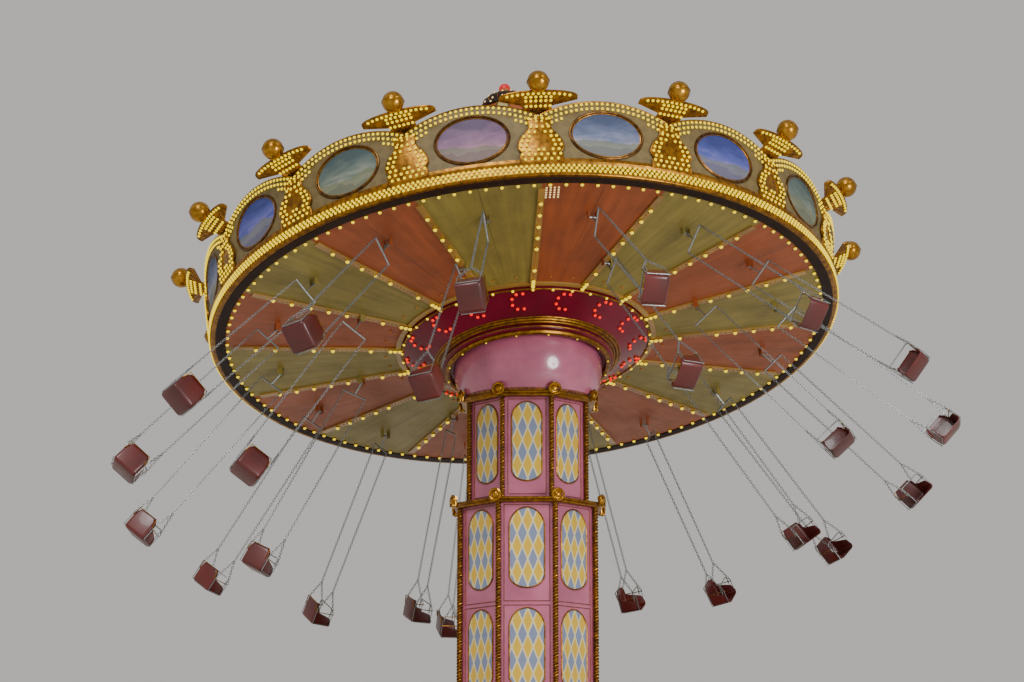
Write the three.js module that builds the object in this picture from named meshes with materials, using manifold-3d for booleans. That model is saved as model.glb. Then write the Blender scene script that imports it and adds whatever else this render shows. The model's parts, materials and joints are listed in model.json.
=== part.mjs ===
// A chair-swing carousel with a tilting, lit canopy on a telescopic octagonal tower.
// Millimetres, +Z up, origin on the ground at the tower's axis.
// It stands as in flight: mast up, canopy tilted towards +Y, chairs flung outwards.

import * as THREE from 'three';
import { mergeVertices } from 'three/addons/utils/BufferGeometryUtils.js';
import loadManifold from 'manifold-3d';

const wasm = await loadManifold();
wasm.setup();

// Driving dimensions
const RIM = 5200; // radius of the lamp ring under the canopy's edge, to which the canopy is scaled
const SECTORS = 16;
const FIRST_RIB = -80.35; // polar angle of a ceiling rib, degrees
const FIRST_CORNER = -85.1; // polar angle of a tower corner, degrees
const TILT = 15; // lean of the canopy in flight, degrees
const CENTRE_HEIGHT = 10660; // height of the canopy's centre, in flight
const CENTRE_ABOVE_PIVOT = 676;
const DECK_TOP = 900;
const DECK_RADIUS = 5900;
const CHAIR_ANGLE = 44; // outer row's swing from the canopy's axis, degrees
const INNER_CHAIR_ANGLE = 35;
const CHAIR_LENGTH = 3830; // hinge to the underside of the seat
const SEAM = 0.3; // gap between pieces that touch
const RUNNING_GAP = 0.6; // gap at bearings
const CANOPY_SIDES = 48;

const rad = THREE.MathUtils.degToRad;
const PIVOT_HEIGHT = CENTRE_HEIGHT - CENTRE_ABOVE_PIVOT * Math.cos(rad(TILT));
const SECTOR_ANGLE = 360 / SECTORS;

const COLOUR = {
  steel: ['#4a4d50', 0.5, 0.6],
  deck: ['#6b6459', 0.8, 0.1],
  pink: ['#b8617c', 0.3, 0.1],
  gold: ['#c8952e', 0.35, 0.7],
  cream: ['#cdbf8c', 0.6, 0.0],
  maroon: ['#5c1220', 0.45, 0.1],
  brown: ['#2c1a12', 0.5, 0.1],
  olive: ['#8d7a3a', 0.6, 0.0],
  roof: ['#a23a2a', 0.6, 0.0],
  red: ['#c01818', 0.3, 0.0],
  seat: ['#7a1f1a', 0.45, 0.0],
};

const group = new THREE.Group();

// Mesh helpers

function signedVolume(position, index) {
  const [a, b, c] = [new THREE.Vector3(), new THREE.Vector3(), new THREE.Vector3()];
  let total = 0;
  for (let i = 0; i < index.length; i += 3) {
    a.fromBufferAttribute(position, index[i]);
    b.fromBufferAttribute(position, index[i + 1]);
    c.fromBufferAttribute(position, index[i + 2]);
    total += a.dot(b.cross(c));
  }
  return total;
}

// A closed mesh of shared corners, its faces pointing out and none without area
function closed(source) {
  const geometry = source.clone();
  geometry.deleteAttribute('normal');
  geometry.deleteAttribute('uv');
  const merged = mergeVertices(geometry, 0.01);
  const old = merged.index.array;
  const index = [];
  for (let i = 0; i < old.length; i += 3) {
    const [a, b, c] = [old[i], old[i + 1], old[i + 2]];
    if (a !== b && b !== c && c !== a) index.push(a, b, c);
  }
  if (signedVolume(merged.attributes.position, index) < 0) index.reverse();
  merged.setIndex(index);
  return merged;
}

function toManifold(geometry) {
  const mesh = closed(geometry);
  return new wasm.Manifold(new wasm.Mesh({
    numProp: 3,
    vertProperties: new Float32Array(mesh.attributes.position.array),
    triVerts: new Uint32Array(mesh.index.array),
  }));
}

function fromManifold(manifold) {
  const mesh = manifold.getMesh();
  const geometry = new THREE.BufferGeometry();
  geometry.setAttribute('position', new THREE.BufferAttribute(mesh.vertProperties, 3));
  geometry.setIndex(new THREE.BufferAttribute(mesh.triVerts, 1));
  return geometry;
}

const joined = (geometries) => geometries.map(toManifold).reduce((sum, next) => sum.add(next));

const join = (...geometries) => fromManifold(joined(geometries));

const cut = (geometry, ...tools) => fromManifold(toManifold(geometry).subtract(joined(tools)));

// Turns a closed [radius, height] outline about Z; a corner of the polygon lies at firstAngle
function turned(outline, sides, firstAngle = 0) {
  const points = [...outline, outline[0]].map(([r, z]) => new THREE.Vector2(r, z));
  const geometry = new THREE.LatheGeometry(points, sides);
  geometry.rotateX(Math.PI / 2);
  geometry.rotateZ(rad(firstAngle + 90));
  return geometry;
}

// Corner radius of a many-sided bore whose flats clear a round bar
const boreRadius = (radius, sides) => (radius + RUNNING_GAP) / Math.cos(Math.PI / sides);

function ring(inner, outer, low, high, sides, firstAngle) {
  return turned([[inner, low], [outer, low], [outer, high], [inner, high]], sides, firstAngle);
}

// A box between two corners
function block([x0, y0, z0], [x1, y1, z1]) {
  const geometry = new THREE.BoxGeometry(x1 - x0, y1 - y0, z1 - z0);
  geometry.translate((x0 + x1) / 2, (y0 + y1) / 2, (z0 + z1) / 2);
  return geometry;
}

// A round bar between two points
function bar(from, to, radius, sides) {
  const start = new THREE.Vector3(...from);
  const span = new THREE.Vector3(...to).sub(start);
  const geometry = new THREE.CylinderGeometry(radius, radius, span.length(), sides);
  geometry.translate(0, span.length() / 2, 0);
  const turn = new THREE.Quaternion().setFromUnitVectors(new THREE.Vector3(0, 1, 0), span.normalize());
  geometry.applyQuaternion(turn);
  geometry.translate(...start.toArray());
  return geometry;
}

// Copies a geometry round the axis
function around(geometry, count, firstAngle, step = 360 / count) {
  return Array.from({ length: count }, (_, i) => geometry.clone().rotateZ(rad(firstAngle + i * step)));
}

function place(parent, name, geometry, [colour, roughness, metalness]) {
  const material = new THREE.MeshStandardMaterial({ color: colour, roughness, metalness });
  const mesh = new THREE.Mesh(geometry, material);
  mesh.name = name;
  parent.add(mesh);
  return mesh;
}

// Fixed base: well ring with beams and legs, skirt, deck, steps and the plinth round the tower

const WELL = { inner: 1340, outer: 1500, floor: 40 };
const DECK_THICKNESS = 60;
const DECK_SIDES = 48;
const BEAM_COUNT = 8;

function baseFrame() {
  const under = DECK_TOP - DECK_THICKNESS - SEAM;
  const well = ring(WELL.inner, WELL.outer, 0, DECK_TOP, 24);
  const floor = bar([0, 0, 0], [0, 0, WELL.floor], WELL.inner + 50, 24);
  const beam = block([WELL.outer - 40, -60, under - 160], [DECK_RADIUS - 60, 60, under]);
  const leg = block([DECK_RADIUS - 260, -90, 0], [DECK_RADIUS - 60, 90, under - 40]);
  return join(well, floor, ...around(beam, BEAM_COUNT, 0), ...around(leg, BEAM_COUNT, 0));
}

function addBase() {
  const under = DECK_TOP - DECK_THICKNESS;
  place(group, 'base_frame', baseFrame(), COLOUR.steel);
  place(group, 'deck', ring(WELL.outer + 2, DECK_RADIUS, under, DECK_TOP, DECK_SIDES), COLOUR.deck);
  const skirt = ring(DECK_RADIUS - 40, DECK_RADIUS, 0, under - SEAM, DECK_SIDES);
  place(group, 'deck_skirt', skirt, COLOUR.maroon);
  addPlinth();
  addSteps();
}

function addPlinth() {
  const low = DECK_TOP + SEAM;
  const outline = [
    [1560, low], [1960, low], [1960, low + 90], [1900, low + 130],
    [1900, low + 470], [1970, low + 510], [1970, low + 560], [1560, low + 560],
  ];
  place(group, 'tower_plinth', turned(outline, 24), COLOUR.pink);
}

const STEP = { count: 4, tread: 300, width: 1800, overlap: 100 };

function stepFlight() {
  const rise = DECK_TOP / (STEP.count + 1);
  const shape = new THREE.Shape();
  shape.moveTo(0, 0);
  shape.lineTo(STEP.count * STEP.tread + STEP.overlap, 0);
  for (let i = 1; i <= STEP.count; i += 1) {
    const back = i === STEP.count ? 0 : (STEP.count - i) * STEP.tread + STEP.overlap;
    shape.lineTo((STEP.count + 1 - i) * STEP.tread + STEP.overlap, i * rise);
    shape.lineTo(back, i * rise);
  }
  const flight = new THREE.ExtrudeGeometry(shape, { depth: STEP.width, bevelEnabled: false });
  flight.rotateX(Math.PI / 2);
  flight.translate(DECK_RADIUS + SEAM - STEP.overlap, STEP.width / 2, 0);
  const deckEdge = turned([[0, -50], [DECK_RADIUS + SEAM, -50], [DECK_RADIUS + SEAM, DECK_TOP], [0, DECK_TOP]],
    DECK_SIDES);
  return cut(flight, deckEdge);
}

function addSteps() {
  around(stepFlight(), 4, 0).forEach((flight, i) => {
    place(group, `step_flight_${i + 1}`, flight, COLOUR.deck);
  });
}

// Tower: three octagonal stages that slide into each other, with a rope column at each corner

const LEDGE_HEIGHT = 90;
const STAGES = {
  lower: { wall: [1315, 1360], column: 55, ledge: 1540, top: 4074, bottom: 960 },
  middle: { wall: [1150, 1195], column: 50, ledge: 1365, top: 7574, bottom: 3624 },
  upper: { wall: [995, 1040], column: 45, ledge: 1240, top: 9410, bottom: 7010 },
};
const FOOT_HEIGHT = 90;
const GUIDE_GAP = 0.8;

// Ledge, corner posts and the sole ring at their foot, which guides the stage inside the next one
function stageColumns({ wall, column, ledge, top, bottom }, foot, guide) {
  const centre = wall[1] + column + 3;
  const cap = ring(wall[0], ledge, top - LEDGE_HEIGHT, top, 8, FIRST_CORNER);
  const sole = ring(wall[1] + SEAM, guide, foot, bottom + FOOT_HEIGHT, 8, FIRST_CORNER);
  const post = bar([centre, 0, foot + 10], [centre, 0, top - LEDGE_HEIGHT / 2], column, 8);
  return join(cap, sole, ...around(post, 8, FIRST_CORNER));
}

function addStage(name, stage, foot, guide) {
  const [inner, outer] = stage.wall;
  const wall = ring(inner, outer, stage.bottom, stage.top - LEDGE_HEIGHT - SEAM, 8, FIRST_CORNER);
  place(group, `${name}_tower_wall`, wall, COLOUR.pink);
  place(group, `${name}_tower_columns`, stageColumns(stage, foot, guide), COLOUR.gold);
}

function addTower() {
  const { lower, middle, upper } = STAGES;
  addStage('lower', lower, DECK_TOP + RUNNING_GAP, WELL.outer - 20);
  addStage('middle', middle, middle.bottom, lower.wall[0] - GUIDE_GAP);
  addStage('upper', upper, upper.bottom, middle.wall[0] - GUIDE_GAP);
}

// Tilting seat of the canopy: a round bowl about the pivot, a fork and the head that it holds

const BOWL = { radius: 1290, wall: 25, floor: 40, rimAbovePivot: 400 };
const PIN = { radius: 60, half: 200 };
const HEAD_HALF = 140;
const SHAFT = 200;
const FLANGE = { radius: 450, low: 60, high: 140 };
const BOWL_BOTTOM = STAGES.upper.top + SEAM;

function bowl() {
  const low = BOWL_BOTTOM - PIVOT_HEIGHT;
  const arc = (radius, from, to, steps) => Array.from({ length: steps + 1 }, (_, i) => {
    const z = from + (to - from) * (i / steps);
    return [Math.sqrt(radius * radius - z * z), z];
  });
  const outer = arc(BOWL.radius, low, BOWL.rimAbovePivot, 7);
  const inner = arc(BOWL.radius - BOWL.wall, BOWL.rimAbovePivot, low + BOWL.floor, 3);
  const geometry = turned([...outer, ...inner, [0, low + BOWL.floor], [0, low]], 32);
  return geometry.translate(0, 0, PIVOT_HEIGHT);
}

function pivotFork() {
  const foot = BOWL_BOTTOM + BOWL.floor + SEAM;
  const plate = ring(1, 420, foot, foot + 60, 16);
  const core = bar([0, 0, foot + 10], [0, 0, foot + 160], 300, 16);
  const top = PIVOT_HEIGHT + 150;
  const cheeks = [1, -1].map((side) => {
    const [x0, x1] = [HEAD_HALF + RUNNING_GAP, PIN.half].map((x) => side * x).sort((a, b) => a - b);
    return block([x0, -150, foot + 100], [x1, 150, top]);
  });
  const pin = bar([-PIN.half, 0, PIVOT_HEIGHT], [PIN.half, 0, PIVOT_HEIGHT], PIN.radius, 16);
  return join(plate, core, ...cheeks, pin);
}

// In the canopy's own frame, with the canopy's centre at the origin
function tiltHead() {
  const low = -CENTRE_ABOVE_PIVOT;
  const yoke = block([-HEAD_HALF, -130, low - 130], [HEAD_HALF, 130, low + 260]);
  const shaft = bar([0, 0, low + 200], [0, 0, 300], SHAFT, 16);
  const flange = ring(SHAFT - 20, FLANGE.radius, FLANGE.low, FLANGE.high, 16);
  const eye = bar([-HEAD_HALF - 10, 0, low], [HEAD_HALF + 10, 0, low], boreRadius(PIN.radius, 16), 16);
  return cut(join(yoke, shaft, flange), eye);
}

// Canopy, in its own frame: +Z along its axis, lamp ring at height 0

const canopy = new THREE.Group();
canopy.position.set(0, 0, PIVOT_HEIGHT);
canopy.rotation.x = -rad(TILT);
const canopyCentre = new THREE.Group();
canopyCentre.position.set(0, 0, CENTRE_ABOVE_PIVOT);
canopy.add(canopyCentre);
group.add(canopy);

const CEILING_SLOPE = 0.06;
const CEILING = { inner: 0.417 * RIM, outer: RIM + 40, thickness: 24 };
const HUB_TOP = FLANGE.high + SEAM;
const ceilingHeight = (radius) => CEILING_SLOPE * (radius - RIM);

const LIP = { inner: BOWL.radius + 10, outer: 0.285 * RIM, height: -0.124 * RIM };

function drum() {
  const wall = 25;
  const edge = CEILING.inner - SEAM;
  const top = HUB_TOP - SEAM;
  const outline = [
    [LIP.inner, LIP.height], [LIP.outer, LIP.height], [LIP.outer + 20, LIP.height + 40],
    [LIP.outer, LIP.height + 90], [edge, ceilingHeight(CEILING.inner) - 60], [edge, top],
    [edge - wall, top], [edge - wall, ceilingHeight(CEILING.inner) - 40],
    [LIP.outer - 30, LIP.height + 125], [LIP.inner, LIP.height + 60],
  ];
  return turned(outline, CANOPY_SIDES, FIRST_RIB);
}

function slewingHub() {
  const sides = 24;
  return ring(boreRadius(SHAFT, sides), CEILING.inner - 20, HUB_TOP, HUB_TOP + 60, sides, FIRST_RIB);
}

const HINGE = { radius: 22, half: 60, below: 90, cheek: 20 };
const OUTER_ROW = { count: 16, radius: 0.845 * RIM, angle: FIRST_RIB + SECTOR_ANGLE / 2 };
const INNER_ROW = { count: 8, radius: 0.600 * RIM, angle: FIRST_RIB };

const hingeHeight = (row) => ceilingHeight(row.radius) - HINGE.below;

// Two cheeks under the ceiling that hold a chair's hinge, for a row along +X
function hingeCheeks(row) {
  const near = HINGE.half + RUNNING_GAP;
  const low = hingeHeight(row) - 35;
  const high = ceilingHeight(row.radius) + 10;
  return [1, -1].map((side) => {
    const [y0, y1] = [side * near, side * (near + HINGE.cheek)].sort((a, b) => a - b);
    return block([row.radius - 40, y0, low], [row.radius + 40, y1, high]);
  });
}

function ceiling() {
  const { inner, outer, thickness } = CEILING;
  const [low, high] = [ceilingHeight(inner), ceilingHeight(outer)];
  const disc = [[inner, low], [outer, high], [outer, high + thickness], [inner, low + thickness]];
  const cheeks = [OUTER_ROW, INNER_ROW].flatMap((row) => hingeCheeks(row)
    .flatMap((cheek) => around(cheek, row.count, row.angle)));
  return join(turned(disc, CANOPY_SIDES, FIRST_RIB), ...cheeks);
}

const BATTEN = { width: 110, depth: 30, band: 90 };

function ceilingBattens() {
  const gap = 2 * SEAM;
  const band = (inner, outer) => {
    const [low, high] = [ceilingHeight(inner) - gap, ceilingHeight(outer) - gap];
    const outline = [[inner, low], [inner, low - BATTEN.depth], [outer, high - BATTEN.depth], [outer, high]];
    return turned(outline, CANOPY_SIDES, FIRST_RIB);
  };
  const start = CEILING.inner + 30;
  const end = RIM - 110;
  const slope = Math.atan(CEILING_SLOPE);
  const length = (end - start - 20) / Math.cos(slope);
  const batten = block([0, -BATTEN.width / 2, 2 - BATTEN.depth], [length, BATTEN.width / 2, 0]);
  batten.rotateY(-slope);
  batten.translate(start + 10, 0, ceilingHeight(start + 10) - gap - 1);
  return join(band(start, start + BATTEN.band), ...around(batten, SECTORS, FIRST_RIB));
}

const FASCIA = { inner: CEILING.outer + SEAM, outer: 1.04 * RIM, low: -12, high: 0.046 * RIM };

function fasciaBeam() {
  return ring(FASCIA.inner, FASCIA.outer, FASCIA.low, FASCIA.high, CANOPY_SIDES, FIRST_RIB);
}

// Picture boards stand on the cornice and lean out a little
const BOARD = {
  foot: { radius: 1.0535 * RIM, height: 0.055 * RIM },
  top: { radius: 1.068 * RIM, height: 0.256 * RIM },
  junction: 0.208 * RIM,
  notchHalf: 0.042 * RIM,
  notchHeight: 0.203 * RIM,
  thickness: 25,
};
const BOARD_LEAN = Math.atan((BOARD.top.radius - BOARD.foot.radius) / (BOARD.top.height - BOARD.foot.height));
const boardFace = (height) => BOARD.foot.radius + (height - BOARD.foot.height) * Math.tan(BOARD_LEAN);

// The space over two neighbouring arches, centred on a rib, drawn across and up
function archGap() {
  const half = 1.075 * RIM * Math.tan(rad(SECTOR_ANGLE / 2));
  const rise = BOARD.top.height - BOARD.junction;
  const radius = (half * half + rise * rise) / (2 * rise);
  const archHeight = (across) => {
    const fromApex = half - Math.abs(across);
    return BOARD.top.height - radius + Math.sqrt(radius * radius - fromApex * fromApex);
  };
  const steps = 4;
  const along = Array.from({ length: steps + 1 }, (_, i) => (
    BOARD.notchHalf + (half - BOARD.notchHalf) * (i / steps)));
  const shape = new THREE.Shape();
  shape.moveTo(-BOARD.notchHalf, BOARD.notchHeight);
  shape.lineTo(BOARD.notchHalf, BOARD.notchHeight);
  along.forEach((x) => shape.lineTo(x, archHeight(x)));
  shape.lineTo(half, BOARD.top.height + 200);
  shape.lineTo(-half, BOARD.top.height + 200);
  [...along].reverse().forEach((x) => shape.lineTo(-x, archHeight(x)));
  const gap = new THREE.ExtrudeGeometry(shape, { depth: 1000, bevelEnabled: false });
  gap.rotateX(Math.PI / 2);
  gap.rotateZ(Math.PI / 2);
  return gap.translate(BOARD.foot.radius - 500, 0, 0);
}

function pictureBoards() {
  const { foot, top, thickness } = BOARD;
  const low = foot.height + SEAM;
  const outline = [
    [boardFace(low) - thickness, low], [boardFace(low), low],
    [top.radius, top.height], [top.radius - thickness, top.height],
  ];
  return cut(turned(outline, CANOPY_SIDES, FIRST_RIB), ...around(archGap(), SECTORS, FIRST_RIB));
}

// Lantern-shaped ornament in front of each junction of two boards, drawn across and up
function lantern() {
  const shape = new THREE.Shape();
  const foot = [[0.066, -0.012], [0.066, 0.014], [0.058, 0.022]];
  const bulge = [[0.069, 0.034], [0.069, 0.050], [0.058, 0.074]];
  const neck = [[0.042, 0.092], [0.034, 0.108], [0.034, 0.124], [0.040, 0.142]];
  const scaled = (points, side) => points.map(([x, y]) => [side * x * RIM, y * RIM]);
  const half = [...foot, ...bulge, ...neck];
  const outline = [...scaled(half, 1), ...scaled(half, -1).reverse()];
  outline.forEach(([x, y], i) => (i ? shape.lineTo(x, y) : shape.moveTo(x, y)));
  const plate = new THREE.ExtrudeGeometry(shape, { depth: 26, bevelEnabled: false });
  plate.rotateX(Math.PI / 2);
  plate.rotateZ(Math.PI / 2);
  plate.rotateY(BOARD_LEAN);
  return plate.translate(BOARD.foot.radius + 2, 0, BOARD.foot.height);
}

function cornice() {
  const inner = FASCIA.outer + SEAM;
  const face = BOARD.foot.radius;
  const high = BOARD.foot.height;
  const outline = [
    [inner, 0], [face - 30, 0], [face + 6, 40], [face + 6, high - 110],
    [face + 34, high - 70], [face + 34, high], [inner, high],
  ];
  return join(turned(outline, CANOPY_SIDES, FIRST_RIB), ...around(lantern(), SECTORS, FIRST_RIB));
}

// Crests: a fan that leans out over each junction, with a ball at its tip, on a rail behind the boards
const CREST = {
  tip: { radius: 1.134 * RIM, height: 0.248 * RIM },
  slope: 22,
  length: 0.107 * RIM,
  thickness: 24,
};
const BALL = { radius: 0.034 * RIM, at: { radius: 1.150 * RIM, height: 0.272 * RIM } };
const RAIL = { inner: 1.030 * RIM, outer: 1.040 * RIM };

function crestFan() {
  const shape = new THREE.Shape();
  const root = 0.040 * RIM;
  const wide = 0.118 * RIM;
  const shoulder = 0.084 * RIM;
  const start = 0.052 * RIM;
  shape.moveTo(root, 0);
  shape.lineTo(root, start);
  shape.lineTo(wide, shoulder - 0.012 * RIM);
  shape.lineTo(wide, shoulder);
  for (let i = 1; i < 5; i += 1) {
    const angle = Math.PI * (i / 5);
    shape.lineTo(wide * Math.cos(angle), shoulder + (CREST.length - shoulder) * Math.sin(angle));
  }
  shape.lineTo(-wide, shoulder);
  shape.lineTo(-wide, shoulder - 0.012 * RIM);
  shape.lineTo(-root, start);
  shape.lineTo(-root, 0);
  const fan = new THREE.ExtrudeGeometry(shape, { depth: CREST.thickness, bevelEnabled: false });
  fan.translate(0, -CREST.length, 0);
  fan.rotateZ(-Math.PI / 2);
  fan.rotateY(-rad(CREST.slope));
  return fan.translate(CREST.tip.radius, 0, CREST.tip.height);
}

function crests() {
  const rootHeight = CREST.tip.height - CREST.length * Math.sin(rad(CREST.slope));
  const rail = ring(RAIL.inner, RAIL.outer, rootHeight - 10, rootHeight + 50, CANOPY_SIDES, FIRST_RIB);
  const post = block([RAIL.inner + 5, -40, FASCIA.high + SEAM], [RAIL.outer - 5, 40, rootHeight]);
  const ball = new THREE.SphereGeometry(BALL.radius, 9, 6);
  ball.rotateX(Math.PI / 2);
  ball.translate(BALL.at.radius, 0, BALL.at.height);
  const crest = join(crestFan(), post, ball);
  return join(rail, ...around(crest, SECTORS, FIRST_RIB));
}

const ROOF_PROFILE = [
  [1.022, 0.046], [0.90, 0.105], [0.70, 0.205], [0.50, 0.345], [0.32, 0.53], [0.19, 0.72], [0.10, 0.87],
].map(([r, h]) => [r * RIM, h * RIM + SEAM]);
const ROOF_THICKNESS = 20;

function roof() {
  const inner = ROOF_PROFILE.map(([r, h]) => [r - ROOF_THICKNESS, h]).reverse();
  return turned([...ROOF_PROFILE, ...inner], 32, FIRST_RIB);
}

function crown() {
  const [r, base] = ROOF_PROFILE.at(-1);
  const low = base + SEAM;
  const outline = [
    [0, low], [r + 40, low], [r + 40, low + 60], [r - 30, low + 90], [r - 60, low + 190],
    [r - 170, low + 320], [r - 330, low + 400], [0, low + 420],
  ];
  return turned(outline, 16, FIRST_RIB);
}

function beacon() {
  const low = ROOF_PROFILE.at(-1)[1] + 420 + 2 * SEAM;
  const outline = [
    [0, low], [70, low], [70, low + 60], [95, low + 70], [95, low + 150],
    [75, low + 210], [40, low + 240], [0, low + 248],
  ];
  return turned(outline, 12);
}

function addCanopy() {
  place(group, 'tilt_bowl', bowl(), COLOUR.pink);
  place(group, 'pivot_fork', pivotFork(), COLOUR.steel);
  place(canopyCentre, 'tilt_head', tiltHead(), COLOUR.steel);
  place(canopyCentre, 'slewing_hub', slewingHub(), COLOUR.steel);
  place(canopyCentre, 'hub_drum', drum(), COLOUR.maroon);
  place(canopyCentre, 'ceiling', ceiling(), COLOUR.cream);
  place(canopyCentre, 'ceiling_battens', ceilingBattens(), COLOUR.olive);
  place(canopyCentre, 'fascia_beam', fasciaBeam(), COLOUR.brown);
  place(canopyCentre, 'cornice', cornice(), COLOUR.gold);
  place(canopyCentre, 'picture_boards', pictureBoards(), COLOUR.olive);
  place(canopyCentre, 'crests', crests(), COLOUR.gold);
  place(canopyCentre, 'roof', roof(), COLOUR.roof);
  place(canopyCentre, 'crown', crown(), COLOUR.brown);
  place(canopyCentre, 'beacon', beacon(), COLOUR.red);
}

// Chairs: the hinge lies along X, the chains hang down -Z and the rider faces +X

const CHAIN = { half: 235, thickness: 22, spreader: -250 };
const SEAT = { armTop: -3560, panTop: -3790, backTop: -3400, front: 210, back: -190, wall: 22 };

// Spreader bar, both chains and the bar under the seat, as one flat loop across Y
function chainLoop() {
  const { half, thickness, spreader } = CHAIN;
  const outer = new THREE.Shape();
  outer.moveTo(-half - thickness, -CHAIR_LENGTH);
  outer.lineTo(half + thickness, -CHAIR_LENGTH);
  outer.lineTo(half + thickness, spreader + thickness);
  outer.lineTo(-half - thickness, spreader + thickness);
  const hole = new THREE.Path();
  hole.moveTo(-half, SEAT.panTop - 10);
  hole.lineTo(-half, spreader - thickness);
  hole.lineTo(half, spreader - thickness);
  hole.lineTo(half, SEAT.panTop - 10);
  outer.holes.push(hole);
  const loop = new THREE.ExtrudeGeometry(outer, { depth: thickness, bevelEnabled: false });
  loop.rotateX(Math.PI / 2);
  loop.rotateZ(Math.PI / 2);
  return loop.translate(-thickness / 2, 0, 0);
}

// Seat pan and back as one bent sheet, drawn from the side
function seatShell() {
  const { panTop, backTop, front, back, wall } = SEAT;
  const shape = new THREE.Shape();
  shape.moveTo(front, -CHAIR_LENGTH);
  shape.lineTo(front, panTop);
  shape.lineTo(back + wall, panTop);
  shape.lineTo(back - 20, backTop);
  shape.lineTo(back - 20 - wall, backTop);
  shape.lineTo(back - 10, -CHAIR_LENGTH);
  const width = 2 * (CHAIN.half - 2);
  const shell = new THREE.ExtrudeGeometry(shape, { depth: width, bevelEnabled: false });
  shell.rotateX(Math.PI / 2);
  return shell.translate(0, width / 2, 0);
}

function chair() {
  const { half, thickness, spreader } = CHAIN;
  const { armTop, front, back, wall } = SEAT;
  const sides = [1, -1].map((side) => {
    const [y0, y1] = [side * (half + 6), side * (half + 6 - wall)].sort((a, b) => a - b);
    return block([back, y0, 6 - CHAIR_LENGTH], [front - 10, y1, armTop]);
  });
  return join(
    bar([-HINGE.half, 0, 0], [HINGE.half, 0, 0], HINGE.radius, 8),
    block([-16, -16, spreader], [16, 16, 0]),
    chainLoop(),
    seatShell(),
    ...sides,
  );
}

function addRow(name, row, swing) {
  const geometry = chair();
  for (let i = 0; i < row.count; i += 1) {
    const bay = new THREE.Group();
    bay.rotation.z = rad(row.angle + (i * 360) / row.count - 90);
    const hanger = new THREE.Group();
    hanger.position.set(0, row.radius, hingeHeight(row));
    hanger.rotation.x = rad(swing);
    bay.add(hanger);
    canopyCentre.add(bay);
    place(hanger, `${name}_chair_${String(i + 1).padStart(2, '0')}`, geometry.clone(), COLOUR.seat);
  }
}

addBase();
addTower();
addCanopy();
addRow('outer', OUTER_ROW, CHAIR_ANGLE);
addRow('inner', INNER_ROW, INNER_CHAIR_ANGLE);

export default group;
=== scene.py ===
"""Looks of a chair-swing carousel, dressed over its solid model. Metres, +Z up, origin on the ground."""
import json
import math
from functools import partial

import bpy
import numpy as np
from mathutils import Matrix, Vector


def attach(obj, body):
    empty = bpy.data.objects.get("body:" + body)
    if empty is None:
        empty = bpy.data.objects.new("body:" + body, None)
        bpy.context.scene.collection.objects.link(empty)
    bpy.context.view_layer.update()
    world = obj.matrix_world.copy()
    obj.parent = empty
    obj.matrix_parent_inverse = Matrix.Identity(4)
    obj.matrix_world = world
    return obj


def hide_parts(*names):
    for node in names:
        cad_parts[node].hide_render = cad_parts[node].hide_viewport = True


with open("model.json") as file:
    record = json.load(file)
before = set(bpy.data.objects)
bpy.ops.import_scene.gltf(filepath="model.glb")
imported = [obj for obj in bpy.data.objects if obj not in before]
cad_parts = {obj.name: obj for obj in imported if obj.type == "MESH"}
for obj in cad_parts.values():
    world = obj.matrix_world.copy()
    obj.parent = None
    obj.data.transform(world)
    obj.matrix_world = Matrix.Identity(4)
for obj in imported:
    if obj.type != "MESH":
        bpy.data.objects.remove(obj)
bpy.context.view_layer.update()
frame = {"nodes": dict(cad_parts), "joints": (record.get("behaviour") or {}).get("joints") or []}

bl_info = {
    "name": "Chair-Swing Carousel",
    "version": (1, 0, 0),
    "blender": (4, 5, 0),
    "location": "3D View > Sidebar > Carousel",
    "description": "Dresses the solid model of a chair-swing carousel with lamps, mouldings and paint",
    "category": "Object",
}

# Sizes of the solid model that the pieces are set against

RIM = 5.2  # radius of the lamp ring under the canopy's edge
SECTORS = 16
SECTOR_ANGLE = 360 / SECTORS
FIRST_RIB = -102.85  # the rib nearest to the camera
FIRST_CORNER = -85.1
CEILING_SLOPE = 0.06
BATTEN_DEPTH = 0.0306
FASCIA = {"inner": 5.2403, "outer": 1.04 * RIM, "low": -0.012, "high": 0.046 * RIM}
FOOT_RADIUS = 1.0535 * RIM  # picture boards, at their foot
FOOT_HEIGHT = 0.055 * RIM
TOP_RADIUS = 1.068 * RIM
TOP_HEIGHT = 0.256 * RIM
JUNCTION = 0.208 * RIM
BOARD_THICKNESS = 0.025
BOARD_RADIUS = (FOOT_RADIUS + TOP_RADIUS) / 2
BOARD_LEAN = math.atan((TOP_RADIUS - FOOT_RADIUS) / (TOP_HEIGHT - FOOT_HEIGHT))
BOARD_HALF = BOARD_RADIUS * math.radians(SECTOR_ANGLE / 2)
PICTURE = {"centre": 0.725, "half_width": 0.60, "half_height": 0.415}
CREST_TIP = (1.134 * RIM, 0.248 * RIM)
CREST_SLOPE = 22
CREST_LENGTH = 0.107 * RIM
CREST_HALF = 0.118 * RIM
CREST_ROOT = (CREST_TIP[0] - CREST_LENGTH * math.cos(math.radians(CREST_SLOPE)),
              CREST_TIP[1] - CREST_LENGTH * math.sin(math.radians(CREST_SLOPE)))
CREST_THICKNESS = 0.024
BALL_RADIUS = 0.034 * RIM
BALL_AT = (1.150 * RIM, 0.272 * RIM)
CROWN_HEIGHT = 0.42
CONE_TOP = (2.168, -0.242)  # drum's outer face
CONE_FOOT = (1.482, -0.555)
CONE_NORMAL = (0.4150, -0.9098)
LIP_INNER = 1.300
LIP_LOW = -0.6448
PIVOT_HEIGHT = 10.66 - 0.676 * math.cos(math.radians(15))
BOWL_RADIUS = 1.290
BOWL_BOTTOM = 9.4103
DECK_TOP = 0.9
DECK_RADIUS = 5.9
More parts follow.
